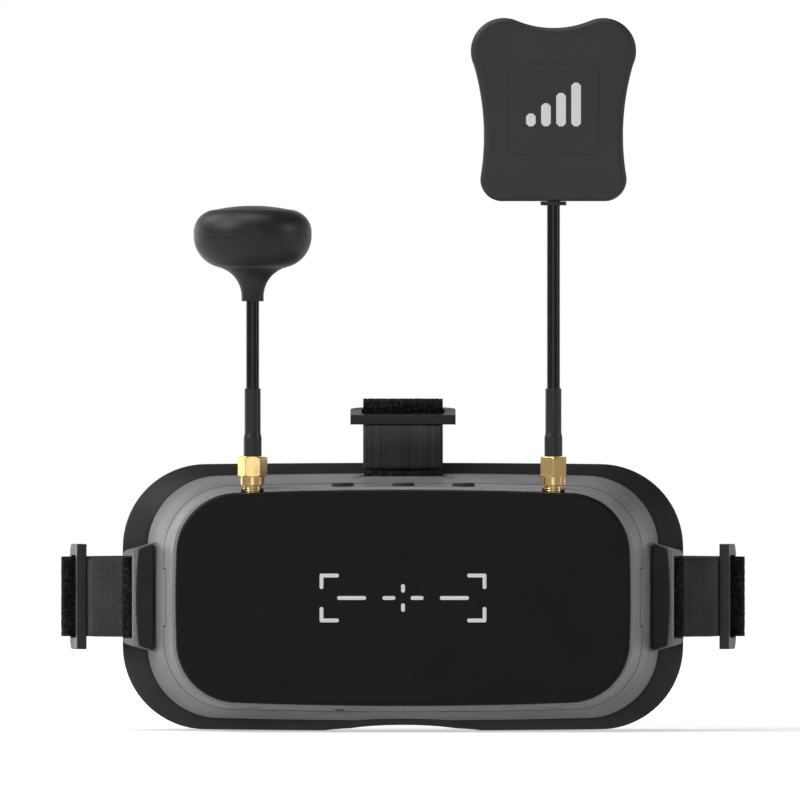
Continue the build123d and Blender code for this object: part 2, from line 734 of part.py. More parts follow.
def strap_outline(start, pin, along, far_points, far_radii, plane, tail=None):
    """Webbing seen on its edge: round the pin, doubled through the adjuster, then single."""
    def at(u, v):
        return adjuster_point(start, along, u, v)

    bend = at(-8, LAYERS_V)
    with BuildSketch(plane) as drawn:
        with BuildLine(mode=Mode.PRIVATE) as doubled:
            FilletPolyline(pin, bend, at(30, LAYERS_V), radius=9)
        trace(doubled.line, 2 * STRAP_T)
        with BuildLine(mode=Mode.PRIVATE) as single:
            FilletPolyline(at(29, LAYERS_V), *far_points, radius=far_radii)
            if tail:
                CenterArc(*tail)
        trace(single.line, STRAP_T)
        with BuildLine(mode=Mode.PRIVATE) as free_end:
            FilletPolyline(at(FLAP_U, LAYERS_V), at(FLAP_U, FLAP_V), at(23, 4.1), at(31, 0.9),
                           at(38, LAYERS_V), radius=[1.5, 24, 12])
        trace(free_end.line, STRAP_T)
        with Locations(pin):
            Circle(PIN_R + FIT + STRAP_T)
            Circle(PIN_R + FIT, mode=Mode.SUBTRACT)
    return drawn.sketch


def adjuster(start, along, plane_of, half_width):
    """A flat adjuster outside the webbing: two bars and a window that the free end comes through."""
    ux, uy = along
    turn = math.degrees(math.atan2(uy, ux))

    def block(u, v, length, depth):
        with Locations(Location((*adjuster_point(start, along, u, v), 0), (0, 0, turn))):
            Rectangle(length, depth)

    opening = half_width + 0.4
    with BuildPart() as body:
        with BuildSketch(plane_of(-BAR_HALF)):
            block(ADJUSTER_L / 2, BAR_V + BAR_T / 2, ADJUSTER_L, BAR_T)
        extrude(amount=2 * BAR_HALF)
        # Window between the two bars
        with BuildSketch(plane_of(-opening)):
            block(ADJUSTER_L / 2, BAR_V + BAR_T / 2, ADJUSTER_L - 2 * BAR_W, BAR_T + 0.6)
        extrude(amount=2 * opening, mode=Mode.SUBTRACT)
        # Rounded rear corners
        far = adjuster_point(start, along, ADJUSTER_L, BAR_V + BAR_T / 2)
        corners = []
        for edge in body.edges():
            seen = plane_of(0).to_local_coords(edge.center())
            if abs(edge.length - BAR_T) < 0.01 and math.hypot(seen.X - far[0], seen.Y - far[1]) < 0.1:
                corners.append(edge)
        fillet(corners, ADJUSTER_CORNER)
    return body.part


# Side straps, drawn in plan. Behind the adjuster they run straight to the head's outline.
side_along = (-math.sin(FLARE_ANGLE), math.cos(FLARE_ANGLE))
# adjuster_point turns u by a quarter turn anticlockwise, which is outwards on the left side
side_corner = adjuster_point(SIDE_ADJUSTER, side_along, 44, LAYERS_V)
reach = math.hypot(side_corner[0], side_corner[1] - HEAD_CENTRE_Y)
bearing = math.atan2(side_corner[1] - HEAD_CENTRE_Y, side_corner[0]) % (2 * math.pi)
touch = bearing - math.acos(HEAD_R / reach)
side_touch = (HEAD_R * math.cos(touch), HEAD_CENTRE_Y + HEAD_R * math.sin(touch))
side_tail = ((0, HEAD_CENTRE_Y), HEAD_R, math.degrees(touch), 91.0 - math.degrees(touch))


def plan_at(z):
    return Plane.XY.offset(z)


def profile_at(x):
    """A plane seen from +X, with Y to the right and Z up."""
    return Plane.YZ.offset(x)


with BuildPart() as strap_side_left:
    with BuildSketch(plan_at(-STRAP_W / 2)):
        add(strap_outline(SIDE_ADJUSTER, SIDE_PIN, side_along, [side_corner, side_touch], 40,
                          Plane.XY, side_tail))
    extrude(amount=STRAP_W)
save(strap_side_left.part, "strap_side_left")

with BuildPart() as strap_side_right:
    mirror(strap_side_left.part, about=Plane.YZ)
save(strap_side_right.part, "strap_side_right")

adjuster_left = adjuster(SIDE_ADJUSTER, side_along, plan_at, STRAP_W / 2)
save(adjuster_left, "adjuster_left")
with BuildPart() as adjuster_right:
    mirror(adjuster_left, about=Plane.YZ)
save(adjuster_right.part, "adjuster_right")

# Top strap, drawn in profile. It comes down behind the head, outside the side straps.
top_along = (math.cos(FLARE_ANGLE), math.sin(FLARE_ANGLE))
BACK_Y = HEAD_CENTRE_Y + HEAD_R
top_corner = adjuster_point(TOP_ADJUSTER, top_along, 44, LAYERS_V)
top_far = [top_corner, (BACK_Y - 10.0, 42.0), (BACK_Y + STRAP_T + 0.1, 28.0), (BACK_Y + STRAP_T + 0.1, -10.0)]
with BuildPart() as strap_top:
    with BuildSketch(profile_at(-STRAP_W / 2)):
        add(strap_outline(TOP_ADJUSTER, TOP_PIN, top_along, top_far, [60, 16, 14], Plane.XY))
    extrude(amount=STRAP_W)
save(strap_top.part, "strap_top")

save(adjuster(TOP_ADJUSTER, top_along, profile_at, STRAP_W / 2), "adjuster_top")

# Pad at the back of the head, inside the straps
PAD_T = 2.5
PAD_H = 38.0
with BuildPart() as rear_pad:
    with BuildSketch(plan_at(-PAD_H / 2)):
        with BuildLine():
            CenterArc((0, HEAD_CENTRE_Y), HEAD_R - STRAP_T / 2 - 0.02 - PAD_T / 2, 62, 56)
        trace(line_width=PAD_T)
    extrude(amount=PAD_H)
save(rear_pad.part, "rear_pad")

# ========================= Antennas ======================================================
JACK_TOP = 41.8
JACK_BASE = 24.0
SHOULDER_BASE = 27.4
SHOULDER_TOP = 30.2
NUT_BASE = 35.1
NUT_SKIRT_R = 3.75
HEX_BASE = 37.8
HEX_TOP = 44.0
BOOT_TOP = 65.3
FERRULE_R = 2.07
FERRULE_BASE = 42.0
STEM_BASE = 52.1
CAP_SEAM = 113.3
NECK_BASE = 92.5
PATCH_BASE = 123.7
PATCH_T = 10.0
PATCH_EDGE = 1.8


def at_antenna(x, z):
    return Plane((x, ANTENNA_Y, z))


def jack(x):
    """Threaded bulkhead jack with a shoulder inside the housing and a socket for the centre pin."""
    with BuildPart() as body:
        with BuildSketch(at_antenna(x, JACK_BASE)):
            Rectangle(6.4, 3.4)
        extrude(amount=SHOULDER_BASE - JACK_BASE)
        with BuildSketch(at_antenna(x, SHOULDER_BASE)):
            RegularPolygon(3.7, 6)
        extrude(amount=SHOULDER_TOP - SHOULDER_BASE)
        with BuildSketch(at_antenna(x, SHOULDER_BASE)):
            Circle(JACK_R)
        extrude(amount=JACK_TOP - SHOULDER_BASE)
        with BuildSketch(at_antenna(x, JACK_TOP)):
            Circle(2.3)
            Circle(0.9, mode=Mode.SUBTRACT)
        extrude(amount=-3.0, mode=Mode.SUBTRACT)
        with BuildSketch(at_antenna(x, JACK_TOP)):
            Circle(0.5)
        extrude(amount=-4.5, mode=Mode.SUBTRACT)
    return body.part


def coupling_nut(x, turn):
    """Hexagon with a round skirt; the plain bore runs over the jack's thread."""
    with BuildPart() as nut:
        with BuildSketch(at_antenna(x, HEX_BASE)):
            RegularPolygon(NUT_AF / 2, 6, major_radius=False, rotation=turn)
        extrude(amount=HEX_TOP - HEX_BASE)
        with BuildPart(mode=Mode.PRIVATE) as rounding:
            with BuildSketch(Plane((x, ANTENNA_Y, HEX_BASE), x_dir=(1, 0, 0), z_dir=(0, -1, 0))):
                with BuildLine():
                    Polyline((0, 0), (4.1, 0), (4.75, 0.6), (4.75, 5.6), (4.1, 6.2), (0, 6.2), close=True)
                make_face()
            revolve(axis=Axis((x, ANTENNA_Y, 0), (0, 0, 1)))
        add(rounding.part, mode=Mode.INTERSECT)
        with BuildSketch(at_antenna(x, NUT_BASE)):
            Circle(NUT_SKIRT_R)
        extrude(amount=HEX_BASE - NUT_BASE)
        with BuildSketch(at_antenna(x, NUT_BASE)):
            Circle(JACK_R + JACK_GAP)
        extrude(amount=43.1 - NUT_BASE, mode=Mode.SUBTRACT)
        with BuildSketch(at_antenna(x, HEX_TOP)):
            Circle(FERRULE_R + 0.1)
        extrude(amount=-2, mode=Mode.SUBTRACT)
    return nut.part


def ferrule(x):
    """Plug body: a collar that the nut pulls down, a crimp tube and the centre pin."""
    with BuildPart() as body:
        with BuildSketch(at_antenna(x, FERRULE_BASE)):
            Circle(3.05)
        extrude(amount=0.95)
        with BuildSketch(at_antenna(x, FERRULE_BASE)):
            Circle(FERRULE_R)
        extrude(amount=10.0)
        with BuildSketch(at_antenna(x, FERRULE_BASE)):
            Circle(0.42)
        extrude(amount=-3.8)
    return body.part


def boot(x):
    """Shrink sleeve over the crimp, wider at its foot."""
    with BuildPart() as sleeve:
        with BuildSketch(Plane((x, ANTENNA_Y, 0), x_dir=(1, 0, 0), z_dir=(0, -1, 0))):
            with BuildLine():
                Polyline((FERRULE_R, HEX_TOP + 0.15), (2.8, HEX_TOP + 0.15), (2.8, 50.0), (2.5, 51.5),
                         (2.5, BOOT_TOP), (FERRULE_R, BOOT_TOP), close=True)
            make_face()
        revolve(axis=Axis((x, ANTENNA_Y, 0), (0, 0, 1)))
    return sleeve.part


def stem(x, top):
    with BuildPart() as cable:
        with BuildSketch(at_antenna(x, STEM_BASE)):
            Circle(STEM_R)
        extrude(amount=top - STEM_BASE)
    return cable.part


ends = {"left": (-ANTENNA_X, 0.0, 104.5), "right": (ANTENNA_X, 30.0, 127.0)}
for side, (x, turn, top) in ends.items():
    save(jack(x), f"jack_{side}")
    save(coupling_nut(x, turn), f"coupling_nut_{side}")
    save(ferrule(x), f"ferrule_{side}")
    save(boot(x), f"boot_{side}")
    save(stem(x, top), f"stem_{side}")

# Mushroom antenna on the left: a base with a flared neck, a domed cap and a clover of wire loops
HEAD_RADIUS = 18.4
SKIN = 1.3
mushroom_plane = Plane((-ANTENNA_X, ANTENNA_Y, 0), x_dir=(1, 0, 0), z_dir=(0, -1, 0))
mushroom_axis = Axis((-ANTENNA_X, ANTENNA_Y, 0), (0, 0, 1))

with BuildPart() as mushroom_base:
    with BuildSketch(mushroom_plane):
        with BuildLine():
            Line((STEM_R, NECK_BASE), (3.45, NECK_BASE))
            Line((3.45, NECK_BASE), (3.45, 94.3))
            ThreePointArc((3.45, 94.3), (5.5, 99.8), (10.6, 103.1))
            ThreePointArc((10.6, 103.1), (16.4, 106.9), (HEAD_RADIUS, CAP_SEAM))
            Line((HEAD_RADIUS, CAP_SEAM), (HEAD_RADIUS - SKIN, CAP_SEAM))
            ThreePointArc((HEAD_RADIUS - SKIN, CAP_SEAM), (15.3, 107.9), (10.0, 104.4))
            Line((10.0, 104.4), (STEM_R, 104.4))
            Line((STEM_R, 104.4), (STEM_R, NECK_BASE))
        make_face()
    revolve(axis=mushroom_axis)
save(mushroom_base.part, "mushroom_base")

CAP_TOP = 122.3
SHOULDER_R = 11.4
SHOULDER_DROP = 1.2


def crown_drop(r):
    """How far the cap's shallow crown has fallen at radius r."""
    crown_r = (SHOULDER_R ** 2 + SHOULDER_DROP ** 2) / (2 * SHOULDER_DROP)
    return crown_r - math.sqrt(crown_r ** 2 - r ** 2)


with BuildPart() as mushroom_cap:
    with BuildSketch(mushroom_plane):
        with BuildLine():
            shoulder = (SHOULDER_R, CAP_TOP - SHOULDER_DROP)
            ThreePointArc((HEAD_RADIUS, CAP_SEAM + 0.05), (16.6, 118.7), shoulder)
            ThreePointArc(shoulder, (5.8, CAP_TOP - crown_drop(5.8)), (0, CAP_TOP))
            Line((0, CAP_TOP), (0, CAP_TOP - SKIN))
            ThreePointArc((0, CAP_TOP - SKIN), (5.4, CAP_TOP - SKIN - crown_drop(5.4)),
                          (10.8, CAP_TOP - SKIN - crown_drop(10.8)))
            ThreePointArc((10.8, CAP_TOP - SKIN - crown_drop(10.8)), (15.4, 117.9),
                          (HEAD_RADIUS - SKIN, CAP_SEAM + 0.05))
            Line((HEAD_RADIUS - SKIN, CAP_SEAM + 0.05), (HEAD_RADIUS, CAP_SEAM + 0.05))
        make_face()
    revolve(axis=mushroom_axis)
save(mushroom_cap.part, "mushroom_cap")

LOOP_WIRE_R = 0.5
LOOP_REACH = 10.0
LOOP_Z = 111.0
LOOP_TILT = 25.0
POST_BASE = 104.6
with BuildPart() as mushroom_clover:
    with BuildSketch(at_antenna(-ANTENNA_X, POST_BASE)):
        Circle(1.6)
    extrude(amount=LOOP_Z + 0.6 - POST_BASE)
    for turn in (0, 120, 240):
        loop_plane = Plane((-ANTENNA_X, ANTENNA_Y, LOOP_Z)).rotated((0, 0, turn)).rotated((LOOP_TILT, 0, 0))
        with BuildSketch(loop_plane):
            with Locations((LOOP_REACH / 2 + 0.5, 0)):
                Circle(LOOP_REACH / 2 + LOOP_WIRE_R)
                Circle(LOOP_REACH / 2 - LOOP_WIRE_R, mode=Mode.SUBTRACT)
        extrude(amount=LOOP_WIRE_R, both=True)
save(mushroom_clover.part, "mushroom_clover")

# Patch antenna on the right: two half shells around a board
LOBE_R = 10.3
LOBE = (15.5, 170.5)


def patch_outline(y, inset):
    """The shield outline at depth y: two lobes with a dip between them over a waisted body."""
    def lobe(side, degrees):
        angle = math.radians(degrees)
        return (ANTENNA_X + side * (LOBE[0] + (LOBE_R - inset) * math.cos(angle)),
                LOBE[1] + (LOBE_R - inset) * math.sin(angle))

    base = PATCH_BASE + inset
    with BuildSketch(across(y)) as drawn:
        with BuildLine():
            for side in (1, -1):
                heel = (ANTENNA_X + side * 16.0, base)
                foot = (ANTENNA_X + side * (22.8 - inset), 131.0)
                waist = (ANTENNA_X + side * (21.7 - inset), 144.6)
                Line((ANTENNA_X, base), heel)
                TangentArc(heel, foot, tangent=(side, 0))
                ThreePointArc(foot, waist, lobe(side, -25))
                ThreePointArc(lobe(side, -25), lobe(side, 43), lobe(side, 112))
            ThreePointArc(lobe(1, 112), (ANTENNA_X, 177.7 - inset), lobe(-1, 112))
        make_face()
    return drawn.sketch


Y_PATCH = ANTENNA_Y - PATCH_T / 2


def patch_shell(y, depth, open_to_back):
    """One half shell; its hollow is open towards the other half."""
    step = 1 if open_to_back else -1
    with BuildPart() as shell:
        with BuildSketch(across(y)):
            add(patch_outline(y, 0.0))
        extrude(amount=-depth)
        outer = shell.faces().sort_by(Axis.Y)[0 if open_to_back else -1]
        fillet(outer.edges(), PATCH_EDGE)
        hollow_y = y + 1.4 if open_to_back else y
        with BuildSketch(across(hollow_y)):
            add(patch_outline(hollow_y, 1.6))
        extrude(amount=-(depth - 1.4), mode=Mode.SUBTRACT)
        with BuildSketch(at_antenna(ANTENNA_X, PATCH_BASE - 1.0)):
            Circle(STEM_R)
        extrude(amount=4.5, mode=Mode.SUBTRACT)
    return shell.part


half_t = PATCH_T / 2 - 0.02
save(patch_shell(Y_PATCH, half_t, True), "patch_front")
save(patch_shell(ANTENNA_Y + 0.02, half_t, False), "patch_back")

with BuildPart() as patch_collar:
    with BuildSketch(at_antenna(ANTENNA_X, PATCH_BASE - 1.3)):
        Circle(4.05)
        Circle(STEM_R, mode=Mode.SUBTRACT)
    extrude(amount=1.2)
save(patch_collar.part, "patch_collar")

with BuildPart() as patch_board:
    with BuildSketch(across(ANTENNA_Y + 0.6)):
        with Locations((ANTENNA_X, 151.0)):
            Rectangle(34, 36)
    extrude(amount=-1.0)
    with BuildSketch(across(ANTENNA_Y - 2.4)):
        with Locations((ANTENNA_X, 152.0)):
            Rectangle(26, 26)
    extrude(amount=-0.8)
    with BuildSketch(across(ANTENNA_Y - 1.6)):
        with Locations((ANTENNA_X, 152.0)):
            Circle(2.0)
    extrude(amount=-2.2)
save(patch_board.part, "patch_board")
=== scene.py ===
import math
import random

import bmesh
import bpy
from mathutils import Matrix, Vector


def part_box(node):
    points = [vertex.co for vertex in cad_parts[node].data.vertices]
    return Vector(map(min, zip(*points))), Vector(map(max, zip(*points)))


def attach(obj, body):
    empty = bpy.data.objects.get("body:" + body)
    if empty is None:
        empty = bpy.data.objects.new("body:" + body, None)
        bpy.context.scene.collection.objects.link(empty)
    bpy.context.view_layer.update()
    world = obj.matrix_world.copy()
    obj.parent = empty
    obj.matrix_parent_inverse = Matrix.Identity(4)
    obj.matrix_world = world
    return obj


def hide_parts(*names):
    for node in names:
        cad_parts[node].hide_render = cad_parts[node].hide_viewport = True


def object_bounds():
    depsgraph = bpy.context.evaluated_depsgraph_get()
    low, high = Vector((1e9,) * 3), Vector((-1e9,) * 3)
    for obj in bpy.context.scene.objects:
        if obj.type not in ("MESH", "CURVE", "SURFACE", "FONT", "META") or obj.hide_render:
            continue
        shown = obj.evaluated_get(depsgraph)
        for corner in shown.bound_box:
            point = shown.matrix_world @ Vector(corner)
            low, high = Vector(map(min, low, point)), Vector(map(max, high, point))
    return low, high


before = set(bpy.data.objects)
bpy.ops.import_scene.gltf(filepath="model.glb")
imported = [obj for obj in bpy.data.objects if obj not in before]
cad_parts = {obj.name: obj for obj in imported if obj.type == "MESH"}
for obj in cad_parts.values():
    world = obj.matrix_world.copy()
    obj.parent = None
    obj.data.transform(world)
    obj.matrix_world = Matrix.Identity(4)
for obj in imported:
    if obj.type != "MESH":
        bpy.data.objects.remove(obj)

CAD_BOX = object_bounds()
MM = 0.001

# ---- Driving dimensions, in millimetres as in the CAD model ------------------------------
# Cross-sections: half width, half height, bow of the sides, bow of top and bottom, corner
FRONT_SECTION = (71.9, 34.6, 1.4, 1.8, 19.8)
SEAM_SECTION = (74.9, 35.7, 1.3, 1.5, 21.0)
FLANGE_SECTION = (88.0, 42.0, 0.8, 0.8, 26.0)
Y_FRONT = -90.0
Y_SEAM = -61.0
FACE_RADIUS = 200.0
Y_RIM = -14.0
CUSHION = 14.0
TONGUE_H = 18.0
TONGUE_L = 8.0

STRAP_W = 25.0
STRAP_T = 1.4
PIN_R = 1.5
FIT = 0.3
FLARE_ANGLE = math.radians(7)
SIDE_PIN = (-84.6, -39.5)
SIDE_ADJUSTER = (-99.9, -14.0)
TOP_PIN = (-39.0, 36.4)
TOP_ADJUSTER = (-27.0, 54.6)
HEAD_CENTRE_Y = 84.0
HEAD_R = 78.0
LAYERS_V = -0.9 - STRAP_T
FLAP_U = 10.0
FLAP_V = 4.9


def middle(node):
    """Middle of a node's box, in metres."""
    low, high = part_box(node)
    return (low + high) / 2


# ========================= Materials =====================================================
PATCHES = 14.0           # size of the soft patches of gloss on a moulding
EDGE_FROM = 0.86         # cosine of the bend at which an edge counts as fully worn
EDGE_TO = 0.995          # and at which it doesn't count as an edge
PICK_SHADE = 0.45        # how far the painted shade in the gaps between the cross threads goes to the groove colour
PICK_DEPTH = 0.03
METAL_EDGE = 0.45        # radius of the edges of turned metal
METAL_WORN = 1.12


def new_material(name):
    made = bpy.data.materials.new(name)
    made.use_nodes = True
    tree = made.node_tree
    place = tree.nodes.new("ShaderNodeTexCoord")
    return made, tree, tree.nodes["Principled BSDF"], place.outputs["Object"]


def set_sockets(node, **values):
    """Sets a node's sockets by name, with _ for each space."""
    for socket, value in values.items():
        node.inputs[socket.replace("_", " ")].default_value = value


def add_noise(tree, where, size, detail=3.0, stretch=(1, 1, 1)):
    """Noise whose features are about size millimetres across."""
    mapping = tree.nodes.new("ShaderNodeMapping")
    mapping.inputs["Scale"].default_value = stretch
    tree.links.new(where, mapping.inputs["Vector"])
    made = tree.nodes.new("ShaderNodeTexNoise")
    set_sockets(made, Scale=1 / (size * MM), Detail=detail)
    tree.links.new(mapping.outputs["Vector"], made.inputs["Vector"])
    return made.outputs["Fac"]


def spread(tree, source, low, high, start=0.3, end=0.7):
    """A socket that maps source from start..end to low..high."""
    made = tree.nodes.new("ShaderNodeMapRange")
    set_sockets(made, From_Min=start, From_Max=end, To_Min=low, To_Max=high)
    tree.links.new(source, made.inputs["Value"])
    return made.outputs["Result"]


def mix(tree, share, first, second):
    """A colour between first and second; either may be a socket or an RGB triple."""
    made = tree.nodes.new("ShaderNodeMix")
    made.data_type = "RGBA"
    for socket, value in ((made.inputs[6], first), (made.inputs[7], second)):
        if isinstance(value, tuple):
            socket.default_value = (*value, 1)
        else:
            tree.links.new(value, socket)
    tree.links.new(share, made.inputs[0])
    return made.outputs[2]


def calculate(tree, operation, first, second=None):
    """A Math node's result; second may be a socket or a number."""
    made = tree.nodes.new("ShaderNodeMath")
    made.operation = operation
    tree.links.new(first, made.inputs[0])
    if isinstance(second, float):
        made.inputs[1].default_value = second
    elif second is not None:
        tree.links.new(second, made.inputs[1])
    return made.outputs[0]


def add_bump(tree, height, depth, normal=None):
    made = tree.nodes.new("ShaderNodeBump")
    set_sockets(made, Distance=depth * MM, Strength=1.0)
    tree.links.new(height, made.inputs["Height"])
    if normal is not None:
        tree.links.new(normal, made.inputs["Normal"])
    return made.outputs["Normal"]


def surface(tree, shader, base, rough, normal, **values):
    """Plugs in a material's colour, roughness and normal, and sets the sockets named in values."""
    for socket, source in (("Base Color", base), ("Roughness", rough), ("Normal", normal)):
        tree.links.new(source, shader.inputs[socket])
    set_sockets(shader, **values)


def rounded_edges(tree, radius):
    """Normals that round the edges by radius, and a mask that is 1 on an edge."""
    bevel = tree.nodes.new("ShaderNodeBevel")
    bevel.samples = 4
    set_sockets(bevel, Radius=radius * MM)
    flat = tree.nodes.new("ShaderNodeNewGeometry")
    dot = tree.nodes.new("ShaderNodeVectorMath")
    dot.operation = "DOT_PRODUCT"
    tree.links.new(bevel.outputs["Normal"], dot.inputs[0])
    tree.links.new(flat.outputs["Normal"], dot.inputs[1])
    return bevel.outputs["Normal"], spread(tree, dot.outputs["Value"], 1.0, 0.0, EDGE_FROM, EDGE_TO)


def tint(colour, factor):
    return tuple(min(1.0, c * factor) for c in colour)


def moulded(name, colour, vary=0.12, rough=(0.35, 0.5), grain=0.3, depth=0.02, edge=0.35,
            worn=1.5, metallic=0.0, **values):
    """A moulded or cast surface: fine grain, soft patches of gloss, and lighter worn edges."""
    made, tree, shader, where = new_material(name)
    patches = add_noise(tree, where, PATCHES, 2.0)
    specks = add_noise(tree, where, grain, 2.0)
    rubs = add_noise(tree, where, grain * 4, 4.0)
    base = mix(tree, spread(tree, specks, 0.0, 1.0), tint(colour, 1 - vary), tint(colour, 1 + vary))
    base = mix(tree, spread(tree, patches, 0.0, 0.35), base, tint(colour, 1 - vary))
    normal, on_edge = rounded_edges(tree, edge)
    scuffs = calculate(tree, "MULTIPLY", on_edge, spread(tree, rubs, 0.1, 1.0, 0.35, 0.65))
    base = mix(tree, scuffs, base, tint(colour, worn))
    surface(tree, shader, base, spread(tree, patches, *rough), add_bump(tree, specks, depth, normal),
            Metallic=metallic, **values)
    return made


def turned_metal(name, colour, rough, lathe=0.12, depth=0.004, tarnish=0.75):
    """Plated turned metal: fine lathe rings about Z, with darker tarnish in patches."""
    made, tree, shader, where = new_material(name)
    rings = add_noise(tree, where, lathe, 1.0, (0.02, 0.02, 1.0))
    patches = add_noise(tree, where, 3.0, 4.0)
    normal, on_edge = rounded_edges(tree, METAL_EDGE)
    base = mix(tree, spread(tree, patches, 0.0, 1.0, 0.45, 0.8), colour, tint(colour, tarnish))
    base = mix(tree, on_edge, base, tint(colour, METAL_WORN))
    surface(tree, shader, base, spread(tree, patches, *rough), add_bump(tree, rings, depth, normal),
            Metallic=1.0)
    return made


def threads(name, groove, crown, rough, sheen, fuzz=0.12, depth=0.05, fluff=0.5, specular=0.5,
            picks=None):
    """Yarn: painted shade makes it dark in the grooves and lighter on the crowns that the mesh marks with
    its tone.

    With picks, painted shade darkens the gaps between cross threads picks millimetres apart, following the
    mesh's pick value.
    """
    made, tree, shader, where = new_material(name)
    tone = tree.nodes.new("ShaderNodeAttribute")
    tone.attribute_name = "tone"
    fibre = add_noise(tree, where, fuzz, 3.0)
    blotch = add_noise(tree, where, 9.0, 3.0)
    # painted shade: where the mesh's tone is low, in the grooves, the yarn takes the groove colour
    base = mix(tree, spread(tree, tone.outputs["Fac"], 0.0, 1.0, 0.0, 1.0), groove, crown)
    base = mix(tree, spread(tree, fibre, 0.0, fluff), base, tint(crown, 1.2))
    base = mix(tree, spread(tree, blotch, 0.0, 0.4), base, groove)
    normal = add_bump(tree, fibre, depth)
    if picks:
        position = tree.nodes.new("ShaderNodeAttribute")
        position.attribute_name = "pick"
        turns = calculate(tree, "MULTIPLY", position.outputs["Fac"], math.tau / picks)
        wave = calculate(tree, "SINE", turns)
        # painted shade in the gaps between the cross threads
        base = mix(tree, spread(tree, wave, PICK_SHADE, 0.0, -1.0, 1.0), base, groove)
        normal = add_bump(tree, wave, PICK_DEPTH, normal)
    surface(tree, shader, base, spread(tree, fibre, *rough), normal,
            Sheen_Weight=sheen, Sheen_Roughness=0.4, Specular_IOR_Level=specular)
    return made


def knit(name, dark, light, cell=0.9, depth=0.12):
    """Brushed knit over foam: small cells with painted shade in the gaps between them."""
    made, tree, shader, where = new_material(name)
    cells = tree.nodes.new("ShaderNodeTexVoronoi")
    set_sockets(cells, Scale=1 / (cell * MM))
    tree.links.new(where, cells.inputs["Vector"])
    fibre = add_noise(tree, where, 0.2, 3.0)
    rubbed = add_noise(tree, where, 20.0, 3.0)
    # painted shade: dark in the gaps between the cells
    base = mix(tree, spread(tree, cells.outputs["Distance"], 1.0, 0.0, 0.1, 0.6), dark, light)
    base = mix(tree, spread(tree, rubbed, 0.0, 0.5), base, tint(light, 1.5))
    height = calculate(tree, "SUBTRACT", fibre, cells.outputs["Distance"])
    surface(tree, shader, base, spread(tree, fibre, 0.75, 0.95), add_bump(tree, height, depth),
            Sheen_Weight=0.25)
    return made


ACRYLIC_IOR = 1.49
WAVE_UNIT = 20           # the wave texture repeats every math.tau / WAVE_UNIT at a scale of 1


def grooved_lens(name, pitch=0.6):
    """Clear acrylic with fine rings about its middle."""
    made, tree, shader, where = new_material(name)
    rings = tree.nodes.new("ShaderNodeTexWave")
    rings.wave_type = "RINGS"
    rings.rings_direction = "Y"
    rings.wave_profile = "SAW"
    set_sockets(rings, Scale=math.tau / (WAVE_UNIT * pitch * MM))
    tree.links.new(where, rings.inputs["Vector"])
    dust = add_noise(tree, where, 6.0, 5.0)
    base = mix(tree, dust, (0.92, 0.95, 0.97), (0.82, 0.88, 0.92))
    grooves = add_bump(tree, rings.outputs["Fac"], 0.03)
    surface(tree, shader, base, spread(tree, dust, 0.03, 0.14), grooves,
            Transmission_Weight=1.0, IOR=ACRYLIC_IOR)
    return made


SHELL_GREY = (0.225, 0.225, 0.228)

